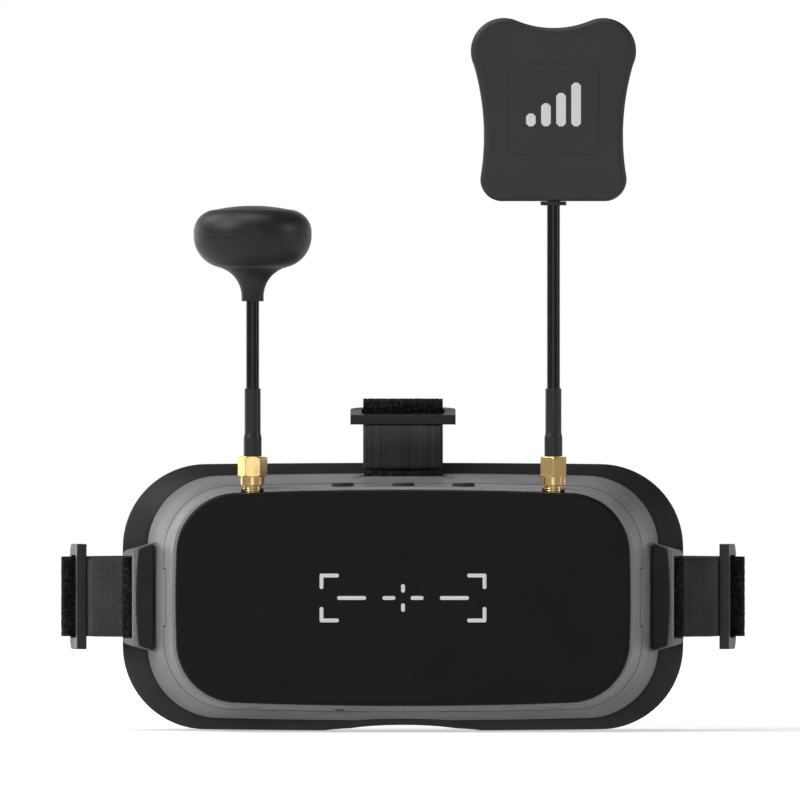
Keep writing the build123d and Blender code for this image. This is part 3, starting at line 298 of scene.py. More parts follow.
# Each moulding: colour, how much it varies, its roughness, the size and depth of its grain, the
# radius of its edges, and how light they are worn
MATERIALS = {
    "panel": moulded("satin_black_panel", (0.007, 0.007, 0.0073), 0.1, (0.34, 0.42), 0.5, 0.003, 0.3, 2.0,
                     Specular_IOR_Level=0.14),
    "shell": moulded("grey_shell", SHELL_GREY, 0.26, (0.38, 0.5), 0.55, 0.06, 0.5, 1.35),
    "flange": moulded("dark_flange", (0.019, 0.019, 0.0194), 0.2, (0.5, 0.6), 0.35, 0.025, 3.0, 1.0,
                      Specular_IOR_Level=0.2),
    "dark": moulded("black_moulding", (0.011, 0.011, 0.0114), 0.2, (0.40, 0.52), 0.3, 0.015, 0.4, 2.2,
                    Specular_IOR_Level=0.3),
    "buckle": moulded("gloss_black_moulding", (0.012, 0.012, 0.0124), 0.2, (0.3, 0.4), 0.3, 0.012, 0.4,
                      2.2),
    "baffle": moulded("matte_baffle", (0.01, 0.01, 0.011), 0.2, (0.8, 0.9), 0.5, 0.05, 0.3, 1.5),
    "rubber": moulded("soft_black_rubber", (0.018, 0.018, 0.019), 0.15, (0.5, 0.62), 0.4, 0.02, 0.3, 1.6),
    "stem": moulded("gloss_jacket", (0.003, 0.003, 0.0032), 0.15, (0.16, 0.22), 0.6, 0.004, 0.2, 1.6),
    "cable": moulded("shrink_sleeve", (0.014, 0.014, 0.0145), 0.15, (0.34, 0.44), 0.6, 0.012, 0.2, 1.6),
    "mushroom": moulded("antenna_black", (0.0085, 0.0085, 0.0088), 0.15, (0.42, 0.5), 0.4, 0.006, 0.3, 1.8,
                        Sheen_Weight=0.3, Sheen_Roughness=0.3),
    "patch": moulded("antenna_charcoal", (0.026, 0.026, 0.027), 0.1, (0.45, 0.55), 0.35, 0.015, 0.5, 1.5),
    "mark": moulded("printed_mark", (0.82, 0.83, 0.84), 0.06, (0.35, 0.45), 0.25, 0.004, 0.05, 1.0),
    "gasket": moulded("seam_line", (0.005, 0.005, 0.005), 0.1, (0.6, 0.7), 0.3, 0.01, 0.05, 1.0,
                      Specular_IOR_Level=0.1),
    "gold": turned_metal("gold_plating", (1.0, 0.71, 0.30), (0.12, 0.22)),
    "copper": turned_metal("copper_wire", (0.78, 0.40, 0.24), (0.25, 0.4)),
    "steel": turned_metal("machined_steel", (0.5, 0.5, 0.51), (0.25, 0.38)),
    "black_steel": turned_metal("blackened_steel", (0.05, 0.05, 0.052), (0.4, 0.5)),
    "tin": turned_metal("tinned_sheet", (0.62, 0.62, 0.6), (0.3, 0.45), 0.4, 0.01),
    "board": moulded("solder_mask", (0.012, 0.075, 0.035), 0.3, (0.3, 0.45), 1.2, 0.03, 0.1, 1.4),
    "chip": moulded("chip_epoxy", (0.02, 0.02, 0.021), 0.15, (0.55, 0.7), 0.3, 0.02, 0.1, 1.4),
    "pouch": moulded("foil_pouch", (0.45, 0.46, 0.48), 0.08, (0.25, 0.45), 3.0, 0.15, 0.6, 1.2, 0.8),
    "glass": moulded("display_glass", (0.006, 0.007, 0.010), 0.2, (0.05, 0.09), 0.2, 0.001, 0.2, 2.0),
    "lens": grooved_lens("fresnel_acrylic"),
    "webbing": threads("woven_webbing", (0.003, 0.003, 0.0032), (0.078, 0.078, 0.079), (0.65, 0.85), 0.06,
                       fluff=0.25, specular=0.3, picks=0.8),
    "pile": threads("loop_pile", (0.0015, 0.0015, 0.0015), (0.045, 0.045, 0.046), (0.8, 0.95), 0.0,
                    0.3, 0.1, fluff=0.05, specular=0.08),
    "stitch": threads("sewing_thread", (0.02, 0.02, 0.02), (0.05, 0.05, 0.052), (0.5, 0.65), 0.1),
    "knit": knit("brushed_knit", (0.006, 0.006, 0.0065), (0.024, 0.024, 0.026)),
    "binding": knit("edge_binding", (0.008, 0.008, 0.008), (0.03, 0.03, 0.032), 0.5, 0.06),
}

def both(name):
    return [f"{name}_left", f"{name}_right"]


NODE_MATERIALS = {
    "panel": ["front_panel"],
    "shell": ["front_housing", "rear_housing"],
    "flange": ["face_flange"],
    "buckle": both("adjuster") + ["adjuster_top"],
    "dark": both("bracket_bar") + ["seam_clips", "lens_frame", "speaker", "av_socket", "dc_socket",
                                   "power_switch"],
    "baffle": ["light_baffle"],
    "rubber": both("button") + ["button_centre", "switch_knob", "patch_collar"],
    "stem": both("stem"),
    "cable": both("boot"),
    "mushroom": ["mushroom_base", "mushroom_cap"],
    "patch": ["patch_front", "patch_back"],
    "gold": both("coupling_nut") + both("ferrule") + both("jack"),
    "copper": ["mushroom_clover"],
    "black_steel": both("strap_pin") + ["strap_pin_top"],
    "steel": ["housing_screws", "lens_screws", "usb_socket"],
    "tin": both("receiver_shield") + ["dome_switches", "display_backlight"],
    "board": both("receiver_board") + ["main_board", "button_board", "patch_board"],
    "chip": ["main_board_parts"],
    "pouch": ["battery_pouches"],
    "glass": ["display_panel"],
    "lens": ["fresnel_lens"],
}


def dress(obj, material):
    obj.data.materials.clear()
    obj.data.materials.append(MATERIALS[material])


for material, members in NODE_MATERIALS.items():
    for member in members:
        dress(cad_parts[member], material)


# ========================= Mesh building =================================================
class Shape:
    """Vertices in millimetres, each with a tone and a pick for its material, and faces: one piece."""

    def __init__(self):
        self.points = []
        self.faces = []
        self.tones = []
        self.picks = []

    def rows(self, rows, tones=None, closed=True, capped=True, picks=None):
        """Joins rows of points into a skin. Closed rows are loops; caps shut the two ends."""
        first = len(self.points)
        count = len(rows[0])
        for i, row in enumerate(rows):
            self.points += [Vector(p) for p in row]
            self.tones += tones[i] if tones else [0.5] * count
            self.picks += picks[i] if picks else [0.0] * count
        last = count if closed else count - 1
        for i in range(len(rows) - 1):
            for k in range(last):
                a = first + i * count + k
                b = first + i * count + (k + 1) % count
                self.faces.append((a, b, b + count, a + count))
        if closed and capped:
            end = first + (len(rows) - 1) * count
            self.faces.append(tuple(reversed(range(first, first + count))))
            self.faces.append(tuple(range(end, end + count)))

    def mirrored(self):
        """The same shape with left and right swapped."""
        other = Shape()
        other.points = [Vector((-p.x, p.y, p.z)) for p in self.points]
        other.faces = [tuple(reversed(f)) for f in self.faces]
        other.tones = list(self.tones)
        other.picks = list(self.picks)
        return other

    def piece(self, name, material, body, slot, smooth=True):
        """Makes the shape a piece in the scene that rides on body."""
        mesh = bpy.data.meshes.new(name)
        mesh.from_pydata([p * MM for p in self.points], [], self.faces)
        mesh.update()
        for label, values in (("tone", self.tones), ("pick", self.picks)):
            mesh.attributes.new(label, "FLOAT", "POINT").data.foreach_set("value", values)
        mesh.polygons.foreach_set("use_smooth", [smooth] * len(mesh.polygons))
        made = bpy.data.objects.new(name, mesh)
        bpy.context.scene.collection.objects.link(made)
        make_outward(made)
        dress(made, material)
        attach(made, body)
        return made


def make_outward(obj):
    """Turns the faces outward wherever they were wound inward."""
    work = bmesh.new()
    work.from_mesh(obj.data)
    bmesh.ops.recalc_face_normals(work, faces=work.faces)
    work.to_mesh(obj.data)
    work.free()


def resampled(points, step):
    """The same polyline with points about step apart."""
    lengths = [0.0]
    for a, b in zip(points, points[1:]):
        lengths.append(lengths[-1] + (b - a).length)
    count = max(2, round(lengths[-1] / step))
    made = []
    k = 0
    for i in range(count + 1):
        want = lengths[-1] * i / count
        while k < len(points) - 2 and lengths[k + 1] < want:
            k += 1
        span = lengths[k + 1] - lengths[k]
        made.append(points[k].lerp(points[k + 1], (want - lengths[k]) / span if span else 0.0))
    return made


def left_of(path, i):
    """Unit vector to the left of an open flat path at its point i."""
    along = (path[min(i + 1, len(path) - 1)] - path[max(i - 1, 0)]).normalized()
    return Vector((-along.y, along.x, 0))


ARC_STEPS = 16


def rounded(points, radii):
    """A flat polyline with an arc of the given radius at each corner."""
    points = [Vector((*p, 0.0)) for p in points]
    made = [points[0]]
    for before, corner, after, radius in zip(points, points[1:], points[2:], radii):
        back = (before - corner).normalized()
        on = (after - corner).normalized()
        half = back.angle(on) / 2
        centre = corner + (back + on).normalized() * (radius / math.sin(half))
        start = corner + back * (radius / math.tan(half)) - centre
        end = corner + on * (radius / math.tan(half)) - centre
        turn = start.angle(end)
        for i in range(ARC_STEPS + 1):
            t = i / ARC_STEPS
            arm = (start * math.sin((1 - t) * turn) + end * math.sin(t * turn)) / math.sin(turn)
            made.append(centre + arm)
    made.append(points[-1])
    return made


def arc(centre, radius, start, end, step=2.0):
    """Points of an arc, angles in degrees."""
    count = max(4, round(abs(end - start) / step))
    made = []
    for i in range(count + 1):
        angle = math.radians(start + (end - start) * i / count)
        x = centre[0] + radius * math.cos(angle)
        y = centre[1] + radius * math.sin(angle)
        made.append(Vector((x, y, 0)))
    return made


LEAST_CORNER = 2.0
SIDE_STEPS = 10
CORNER_STEP = 4.0        # degrees
TOP_STEPS = 16


def section_loop(values, inset=0.0):
    """Points (x, z) round a bowed rounded rectangle, from the middle of its underside."""
    half_w, half_h, bow_x, bow_z, corner = values
    half_w -= inset
    half_h -= inset
    side = half_w - bow_x
    top = half_h - bow_z
    corner = max(corner - inset, LEAST_CORNER)
    side_r = (top ** 2 + bow_x ** 2) / (2 * bow_x)
    top_r = (side ** 2 + bow_z ** 2) / (2 * bow_z)
    a = Vector((half_w - side_r, 0, 0))
    b = Vector((0, half_h - top_r, 0))
    between = b - a
    gap = between.length
    reach_a = side_r - corner
    reach_b = top_r - corner
    along = (reach_a ** 2 - reach_b ** 2 + gap ** 2) / (2 * gap)
    off = math.sqrt(reach_a ** 2 - along ** 2)
    unit = between / gap
    centre = a + unit * along + Vector((-unit.y, unit.x, 0)) * -off
    if centre.x < 0 or centre.y < 0:
        centre = a + unit * along + Vector((-unit.y, unit.x, 0)) * off
    from_side = math.degrees(math.atan2(centre.y - a.y, centre.x - a.x))
    from_top = math.degrees(math.atan2(centre.y - b.y, centre.x - b.x))
    quarter = arc(a, side_r, 0.0, from_side, from_side / SIDE_STEPS)
    quarter += arc(centre, corner, from_side, from_top, CORNER_STEP)[1:]
    quarter += arc(b, top_r, from_top, 90.0, (90.0 - from_top) / TOP_STEPS)[1:]
    loop = [Vector((p.x, -p.y, 0)) for p in reversed(quarter)]
    loop += quarter[1:]
    loop += [Vector((-p.x, p.y, 0)) for p in reversed(quarter)][1:]
    loop += [Vector((-p.x, -p.y, 0)) for p in quarter][1:]
    return loop


ASKEW = Vector((0.13, 0.21, 0.97))      # no path runs along this direction


def tube(shape, path, radius, sides=6, closed=False, tone=0.5):
    """A round tube along 3-D points."""
    rows = []
    count = len(path)
    for i, point in enumerate(path):
        before = path[i - 1] if closed or i else path[0]
        after = path[(i + 1) % count] if closed or i < count - 1 else path[-1]
        along = (after - before).normalized()
        side = along.cross(ASKEW).normalized()
        up = side.cross(along)
        turns = [math.tau * k / sides for k in range(sides)]
        rows.append([point + (side * math.cos(t) + up * math.sin(t)) * radius for t in turns])
    if closed:
        rows.append(rows[0])
    shape.rows(rows, [[tone] * sides for _ in rows], capped=not closed)


STITCH_SHAPE = (-0.5, -0.3, 0.0, 0.3, 0.5)
STITCH_TONE = 0.8


def stitch_row(shape, start, end, lift, pitch=2.4, length=1.7, radius=0.22):
    """A row of single stitches from start to end, each arched away by lift."""
    start, end = Vector(start), Vector(end)
    count = max(1, int((end - start).length / pitch))
    along = (end - start).normalized()
    for i in range(count):
        middle_at = start + along * ((i + 0.5) * (end - start).length / count)
        path = []
        for t in STITCH_SHAPE:
            path.append(middle_at + along * (t * length) + Vector(lift) * (1 - (2 * t) ** 2))
        tube(shape, path, radius, tone=STITCH_TONE)


# ========================= Webbing =======================================================
RIB = 0.66               # pitch of the ribs across the side straps
RIB_ROWS = 3             # rows of points in one rib
RIB_LIFT = 0.055
RIB_SKEW = 0.9           # turn in the wave of every other column, in radians
HALF_ACROSS = [0.25, 0.5, 0.7, 0.86, 0.94, 0.985, 1.0]
ACROSS = [-share for share in reversed(HALF_ACROSS)] + [0.0] + HALF_ACROSS
LONG_RIBS = 34           # lengthwise ribs across the top strap
LONG_STEP = 1.1
SELVEDGE = 0.9           # share of the half width where the flatter edge begins
SPLIT_EDGE = 0.95        # and where the two layers of a doubled strap part
DARKEST_CROSS = 0.45
DARKEST_LONG = 0.15


def edge_profile(share, width, thickness):
    """Half thickness at a share of the half width: full, then rounded off at the selvedge."""
    beyond = abs(share) * width / 2 - (width / 2 - thickness / 2)
    if beyond <= 0:
        return thickness / 2
    return math.sqrt(max(0.0, (thickness / 2) ** 2 - beyond ** 2))


def ribbon(shape, path, thickness, place, seed, lengthwise=False, split=False):
    """Webbing along a flat path, ribbed across or along, with painted shade in the grooves; place(point,
    across) puts it in space.
    """
    rng = random.Random(seed)
    step = LONG_STEP if lengthwise else RIB / RIB_ROWS
    path = resampled(path, step)
    across = [k / LONG_RIBS - 1 for k in range(2 * LONG_RIBS + 1)] if lengthwise else ACROSS
    darkest = DARKEST_LONG if lengthwise else DARKEST_CROSS
    yarn = [rng.uniform(darkest, 1.0) for _ in range(len(path) + len(across))]
    rows = []
    tones = []
    picks = []
    for i, point in enumerate(path):
        out = left_of(path, i)
        row = []
        tone = []
        pick = []
        for face in (1, -1):
            order = range(len(across)) if face == 1 else range(len(across) - 2, 0, -1)
            for k in order:
                share = across[k]
                if lengthwise:
                    wave = (k % 2) * yarn[k // 2]
                else:
                    turn = math.tau * i / RIB_ROWS + (k % 2) * RIB_SKEW
                    wave = (0.5 + 0.5 * math.cos(turn)) * yarn[i // RIB_ROWS]
                plain = 0.5 if abs(share) > SELVEDGE else 1.0
                groove = split and abs(share) > SPLIT_EDGE
                half = edge_profile(share, STRAP_W, STRAP_T if groove else thickness)
                lift = RIB_LIFT * (wave - 0.5) * plain
                row.append(place(point + out * face * (half + lift), share * STRAP_W / 2))
                # tone: low in the grooves between the ribs as painted shade, times a random tone for each
                # yarn, halved at the flatter selvedge
                tone.append(wave * plain * rng.uniform(0.75, 1.0))
                pick.append(i * step if lengthwise else share * STRAP_W / 2)
        rows.append(row)
        tones.append(tone)
        picks.append(pick)
    shape.rows(rows, tones, picks=picks)


PILE_STEP = 0.36         # between the loops
PILE_EDGE = 0.15         # least half thickness
PILE_DRIFT = 0.15
PILE_SINK = 0.35         # share of the pile's height that lies below the webbing's face
BACK_TONE = 0.1


def pile(shape, path, thickness, place, seed, width=STRAP_W, height=0.42):
    """Webbing whose outer face carries uneven loops of pile, with painted shade on the lower loops."""
    rng = random.Random(seed)
    path = resampled(path, PILE_STEP)
    count = round(width / PILE_STEP)
    rows = []
    tones = []
    for i, point in enumerate(path):
        out = left_of(path, i)
        row = []
        tone = []
        for k in range(count + 1):
            share = 2 * k / count - 1
            loop = rng.random()
            half = max(PILE_EDGE, edge_profile(share * 0.98, width, thickness))
            drift = rng.uniform(-PILE_DRIFT, PILE_DRIFT) if 0 < k < count else 0.0
            level = half + height * (loop - PILE_SINK)
            row.append(place(point + out * level, share * width / 2 + drift))
            # painted shade: the lower a loop lies, the darker its tone
            tone.append(loop ** 3)
        for share in (1.0, 0.5, 0.0, -0.5, -1.0):
            row.append(place(point - out * thickness / 2, share * width / 2))
            tone.append(BACK_TONE)
        rows.append(row)
        tones.append(tone)
    shape.rows(rows, tones)


def local(start, along):
    """Gives the flat point u back along the webbing and v outwards, from an adjuster's edge."""
    def at(u, v):
        return (start[0] + u * along[0] - v * along[1], start[1] + u * along[1] + v * along[0])
    return at


# Places along a strap, from the edge of its adjuster back
LOOP_TURN = -8.0         # where the two layers bend away to the pin
LOOP_BEND = 9.0
SEWN_END = 31.0          # where the second layer stops
STITCHES_AT = (25.5, 28.5)
STITCH_HALF = 10.5
FAR_START = 29.0         # where the single layer starts
FAR_BEND = 44.0
FLAP_END = [(23.0, 4.1), (31.0, 0.9), (38.0, LAYERS_V)]     # the free end settling on the strap
FLAP_BENDS = [1.5, 24.0, 12.0]
PIN_OVERLAP = 0.5        # how far the doubled strap runs into the loop round the pin
LOOP_FROM = 330.0        # degrees round the pin from the strap
LOOP_TO = 30.0
LOOP_STEP = 8.0
SEWING_OUT = 0.12


def in_plan(point, across):
    return (point.x, point.y, across)


def in_profile(point, across):
    return (across, point.x, point.y)


def harness(at, pin, far_path, place, seed, lengthwise=False):
    """One strap: the loop round its pin, two layers through the adjuster, one layer beyond."""
    woven = Shape()
    loops = Shape()
    doubled = rounded([pin, at(LOOP_TURN, LAYERS_V), at(SEWN_END, LAYERS_V)], [LOOP_BEND])
    clear = PIN_R + FIT + STRAP_T
    while (doubled[0] - Vector((*pin, 0))).length < clear - PIN_OVERLAP:
        doubled[0] = doubled[0].lerp(doubled[1], 0.2)
    ribbon(woven, doubled, 2 * STRAP_T, place, seed + 2, lengthwise, split=True)
    ribbon(woven, far_path, STRAP_T, place, seed + 3, lengthwise)
    away = math.degrees(math.atan2(doubled[1].y - pin[1], doubled[1].x - pin[0]))
    round_pin = arc(pin, PIN_R + FIT + STRAP_T / 2, away + LOOP_FROM, away + LOOP_TO, LOOP_STEP)
    pile(loops, round_pin, STRAP_T, place, seed, width=STRAP_W - 0.6, height=0.35)
    turned = [at(FLAP_U, LAYERS_V), at(FLAP_U, FLAP_V)]
    free_end = rounded(turned + [at(*flat) for flat in FLAP_END], FLAP_BENDS)
    pile(loops, free_end, STRAP_T, place, seed + 1)
    sewing = Shape()
    for u in STITCHES_AT:
        for face in (1, -1):
            v = LAYERS_V + face * (STRAP_T + SEWING_OUT)
            ends = [Vector((*at(u, v), 0)), Vector((*at(u, v + face), 0))]
            lift = Vector(place(ends[1] - ends[0], 0.0)) * SEWING_OUT
            stitch_row(sewing, place(ends[0], -STITCH_HALF), place(ends[0], STITCH_HALF), lift)
    return woven, loops, sewing


# The side strap runs back from its adjuster, bends towards the head, touches it and follows it
side_at = local(SIDE_ADJUSTER, (-math.sin(FLARE_ANGLE), math.cos(FLARE_ANGLE)))
corner = side_at(FAR_BEND, LAYERS_V)
reach = math.hypot(corner[0], corner[1] - HEAD_CENTRE_Y)
bearing = math.atan2(corner[1] - HEAD_CENTRE_Y, corner[0]) % math.tau
touch = bearing - math.acos(HEAD_R / reach)
touch_point = (HEAD_R * math.cos(touch), HEAD_CENTRE_Y + HEAD_R * math.sin(touch))
SIDE_BEND = 40.0
SIDE_STOP = 90.6         # degrees round the head: just short of the strap from the other side
SIDE_SEED = 11
TOP_SEED = 31
side_far = rounded([side_at(FAR_START, LAYERS_V), corner, touch_point], [SIDE_BEND])
side_far += arc((0, HEAD_CENTRE_Y), HEAD_R, math.degrees(touch), SIDE_STOP)[1:]
side_parts = harness(side_at, SIDE_PIN, side_far, in_plan, SIDE_SEED)

# The top strap runs over the head and lies down on the side straps at the back
top_at = local(TOP_ADJUSTER, (math.cos(FLARE_ANGLE), math.sin(FLARE_ANGLE)))
BACK_Y = HEAD_CENTRE_Y + HEAD_R
ON_SIDES = BACK_Y + STRAP_T + 0.1       # depth of the top strap where it lies on the side straps
TOP_DOWN = [(BACK_Y - 10.0, 42.0), (ON_SIDES, 28.0), (ON_SIDES, -10.0)]
TOP_BENDS = [60.0, 16.0, 14.0]
top_far = rounded([top_at(FAR_START, LAYERS_V), top_at(FAR_BEND, LAYERS_V)] + TOP_DOWN, TOP_BENDS)
top_parts = harness(top_at, TOP_PIN, top_far, in_profile, TOP_SEED, lengthwise=True)

mirror_parts = [part.mirrored() for part in side_parts]
for side, parts in (("left", side_parts), ("right", mirror_parts), ("top", top_parts)):
    node = "strap_top" if side == "top" else f"strap_side_{side}"
    woven_piece = parts[0].piece(f"webbing_{side}", "webbing", "goggles", "webbing")
    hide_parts(node)
    parts[1].piece(f"pile_{side}", "pile", "goggles", "webbing")
    parts[2].piece(f"stitches_{side}", "stitch", "goggles", "webbing")


# ========================= Face cushion and rear pad =====================================
def face_arc(x, radius):
    """Depth of the face curve of that radius at x."""
    return Y_RIM + FACE_RADIUS - math.sqrt(radius ** 2 - x ** 2)


PAD_HALF = 6.1           # half width of the cushion's ring
NOSE_END = 20.0          # half width of the opening at the nose
RING_INSET = 7.5         # from the flange's outline to the middle line of the ring
RING_STEP = 2.5
RING_POINTS = 28         # round the cushion's own section
BOXINESS = 0.75          # 1 makes the section an ellipse and less makes it boxier
END_STEPS = 8            # points of the path over which each end rounds off
END_LEAST = 0.02
END_RISE = 3.0
END_LOW = 0.35           # share of the height that is left at the very ends
RIM_SINK = 0.05
SWELL = 0.9              # room that the skin leaves for the puffing
PUFF_CAP = 1.3
PUFF_VOXEL = 2.4
PUFF_HELD = 2.5          # height above the rim that stays still
PUFF_PRESSURE = 4.0
PUFF_FRAMES = 20


def cushion_path():
    """The middle line of the cushion's ring as points (x, z), open at the nose."""
    loop = section_loop(FLANGE_SECTION, RING_INSET)
    kept = [p for p in loop if p.y > 0 or abs(p.x) > NOSE_END]
    start = next(i for i, p in enumerate(kept) if p.x > 0)
    kept = kept[start:] + kept[:start]
    return resampled(kept, RING_STEP)


def boxy(value):
    return math.copysign(abs(value) ** BOXINESS, value)


def cushion_skin():
    """The face cushion as a crowned ring that is open at the nose."""
    shape = Shape()
    path = cushion_path()
    total = len(path) - 1
    rows = []
    for i, point in enumerate(path):
        out = -left_of(path, i)
        near_end = min(i, total - i) / END_STEPS
        size = math.sqrt(max(END_LEAST, 1 - (1 - min(near_end, 1.0)) ** 2))
        lift = (1 - size) * END_RISE
        row = []
        for k in range(RING_POINTS):
            turn = math.tau * k / RING_POINTS
            a = (PAD_HALF - SWELL) * boxy(math.cos(turn)) * size
            share = 0.5 + 0.5 * boxy(math.sin(turn))
            x = point.x + out.x * a
            z = point.y + out.y * a + lift
            rim = face_arc(x, FACE_RADIUS) - RIM_SINK
            crown = face_arc(x, FACE_RADIUS - CUSHION) - SWELL
            row.append((x, rim + (crown - rim) * share * (END_LOW + (1 - END_LOW) * size), z))
        rows.append(row)
    shape.rows(rows)
    return shape


def puffed(obj):
    """Swells obj by cloth pressure, with its base held and each point's move capped."""
    remesh = obj.modifiers.new("remesh", "REMESH")
    remesh.mode = "VOXEL"
    remesh.voxel_size = PUFF_VOXEL * MM
    graph = bpy.context.evaluated_depsgraph_get()
    obj.data = bpy.data.meshes.new_from_object(obj.evaluated_get(graph))
    obj.modifiers.clear()
    before = [v.co.copy() for v in obj.data.vertices]
    held = obj.vertex_groups.new(name="held")
    for v in obj.data.vertices:
        above = v.co.y / MM - face_arc(v.co.x / MM, FACE_RADIUS)
        held.add([v.index], 1.0 if above < PUFF_HELD else 0.0, "REPLACE")
    cloth = obj.modifiers.new("cloth", "CLOTH")
    cloth.settings.use_pressure = True
    cloth.settings.uniform_pressure_force = PUFF_PRESSURE
    cloth.settings.effector_weights.gravity = 0.0
    cloth.settings.vertex_group_mass = "held"
    cloth.point_cache.frame_start = 1
    cloth.point_cache.frame_end = PUFF_FRAMES
    for step in range(1, PUFF_FRAMES + 1):
        bpy.context.scene.frame_set(step)
    graph = bpy.context.evaluated_depsgraph_get()
    swollen = bpy.data.meshes.new_from_object(obj.evaluated_get(graph))
    obj.modifiers.clear()
    for v, start, end in zip(obj.data.vertices, before, swollen.vertices):
        move = end.co - start
        if move.length > PUFF_CAP * MM:
            move *= PUFF_CAP * MM / move.length
        v.co = start + move
    obj.data.update()
    bpy.data.meshes.remove(swollen)
    bpy.context.scene.frame_set(1)


cushion = cushion_skin().piece("face_pad", "knit", "goggles", "foam")
puffed(cushion)
dress(cushion, "knit")
cushion.data.polygons.foreach_set("use_smooth", [True] * len(cushion.data.polygons))
fine = cushion.modifiers.new("subdivision", "SUBSURF")
fine.levels = 1
fine.render_levels = 1
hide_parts("face_cushion")

PIPING_R = 0.85
PIPING_OUT = 5.4         # from the middle line of the cushion to the middle of its piping
STITCH_UP = 3.2          # from the rim to the row of stitches above the piping
STITCH_OUT = 3.0         # outward from the piping, before the row is laid on the cushion
BARE_ENDS = 4            # points of the path at each end that have no piping


def on_cushion(point):
    """The place on the cushion's surface nearest to point, and the normal there."""
    _, place, normal, _ = cushion.closest_point_on_mesh(point * MM)
    return place / MM, normal


piping = Shape()
seam_stitches = Shape()
ring_path = cushion_path()[BARE_ENDS:-BARE_ENDS]
welt_line = []
stitch_line = []
for i, point in enumerate(ring_path):
    out = -left_of(ring_path, i)
    x = point.x + out.x * PIPING_OUT
    z = point.y + out.y * PIPING_OUT
    rim = face_arc(x, FACE_RADIUS)
    welt_line.append(Vector((x, rim + PIPING_R, z)))
    beyond = Vector((x + out.x * STITCH_OUT, rim + STITCH_UP, z + out.y * STITCH_OUT))
    stitch_line.append(on_cushion(beyond))
tube(piping, welt_line, PIPING_R, sides=8)
piping.piece("face_pad_piping", "binding", "goggles", "foam")
for (a, normal), (b, _) in zip(stitch_line, stitch_line[1:]):
    stitch_row(seam_stitches, a, b, normal * 0.25, pitch=2.4, length=1.5, radius=0.17)
seam_stitches.piece("face_pad_stitches", "stitch", "goggles", "foam")

PAD_H = 38.0
PAD_T = 2.5
PAD_FROM = 62.0          # degrees round the head
PAD_TO = 118.0
PAD_CORNER = 7.0
PAD_TUCK = 0.06          # gap between the straps and the pad inside them
PAD_COLUMNS = 97
PAD_LEVELS = 25
PAD_ROUND = 4.0          # width of the rounded rim
PAD_EDGE = 0.3
PAD_THIN = 0.35          # share of the thickness that is left at the rim
CHANNEL_PITCH = 10.0     # of the quilted channels
CHANNEL_DEPTH = 0.45
CHANNEL_SPREAD = 0.8     # width of a channel, squared
CHANNELS_EACH_SIDE = 3
QUILT_END = 3.5          # from the pad's edge to the first stitch of a channel
QUILT_DEPTH = 0.45
ARC_PER_DEGREE = math.radians(1) * (HEAD_R - PAD_T)


def pad_point(angle, z, depth):
    """A point on the rear pad: angle round the head in degrees, depth outward from its inside."""
    radius = HEAD_R - STRAP_T / 2 - PAD_TUCK - PAD_T + depth
    turn = math.radians(angle)
    return Vector((radius * math.cos(turn), HEAD_CENTRE_Y + radius * math.sin(turn), z))


def rear_pad():
    """A thin pad with rounded corners, quilted in upright channels on the side of the head."""
    shape = Shape()
    half_h = PAD_H / 2
    half_l = (PAD_TO - PAD_FROM) / 2 * ARC_PER_DEGREE
    rows = []
    for i in range(PAD_COLUMNS):
        s = -half_l + 2 * half_l * i / (PAD_COLUMNS - 1)
        over = max(0.0, abs(s) - (half_l - PAD_CORNER))
        reach_z = half_h - PAD_CORNER + math.sqrt(max(0.0, PAD_CORNER ** 2 - over ** 2))
        angle = 90 - s / ARC_PER_DEGREE
        from_channel = (s + CHANNEL_PITCH / 2) % CHANNEL_PITCH - CHANNEL_PITCH / 2
        pressed = 1 - CHANNEL_DEPTH * math.exp(-from_channel ** 2 / CHANNEL_SPREAD)
        row = []
        for side, channel in ((-1, pressed), (1, 1.0)):
            for k in range(PAD_LEVELS):
                z = side * (1 - 2 * k / (PAD_LEVELS - 1)) * reach_z
                inside = min(half_l - abs(s), reach_z - abs(z)) + PAD_EDGE
                rim = min(1.0, inside / PAD_ROUND)
                crown = math.sqrt(max(0.0, rim * (2 - rim)))
                half_t = PAD_T / 2 * (PAD_THIN + (1 - PAD_THIN) * crown * channel)
                row.append(pad_point(angle, z, PAD_T / 2 + side * half_t))
        rows.append(row)
    shape.rows(rows)
    return shape


head_pad = rear_pad().piece("head_pad", "knit", "goggles", "foam")
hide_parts("rear_pad")

quilting = Shape()
for column in range(-CHANNELS_EACH_SIDE, CHANNELS_EACH_SIDE + 1):
    angle = 90 - column * CHANNEL_PITCH / ARC_PER_DEGREE
    low = pad_point(angle, -PAD_H / 2 + QUILT_END, QUILT_DEPTH)
    high = pad_point(angle, PAD_H / 2 - QUILT_END, QUILT_DEPTH)
    inward = (pad_point(angle, 0, -1) - pad_point(angle, 0, 0)) * 0.2
    stitch_row(quilting, low, high, inward, pitch=2.6, length=1.7, radius=0.18)
quilting.piece("head_pad_stitches", "stitch", "goggles", "foam")


# ========================= Seam line, antenna jacks and printed marks ====================
def housing_edge(y, inset=0.0):
    """Outline (x, z) of the front housing at depth y."""
    share = (y - Y_FRONT) / (Y_SEAM - Y_FRONT)
    section = tuple(a + (b - a) * share for a, b in zip(FRONT_SECTION, SEAM_SECTION))
    return section_loop(section, inset)


def edge_x(y, z):
    """Half width of the housing at depth y and height z."""
    loop = housing_edge(y)
    near = min((p for p in loop if p.x > 0), key=lambda p: abs(p.y - z))
    return near.x


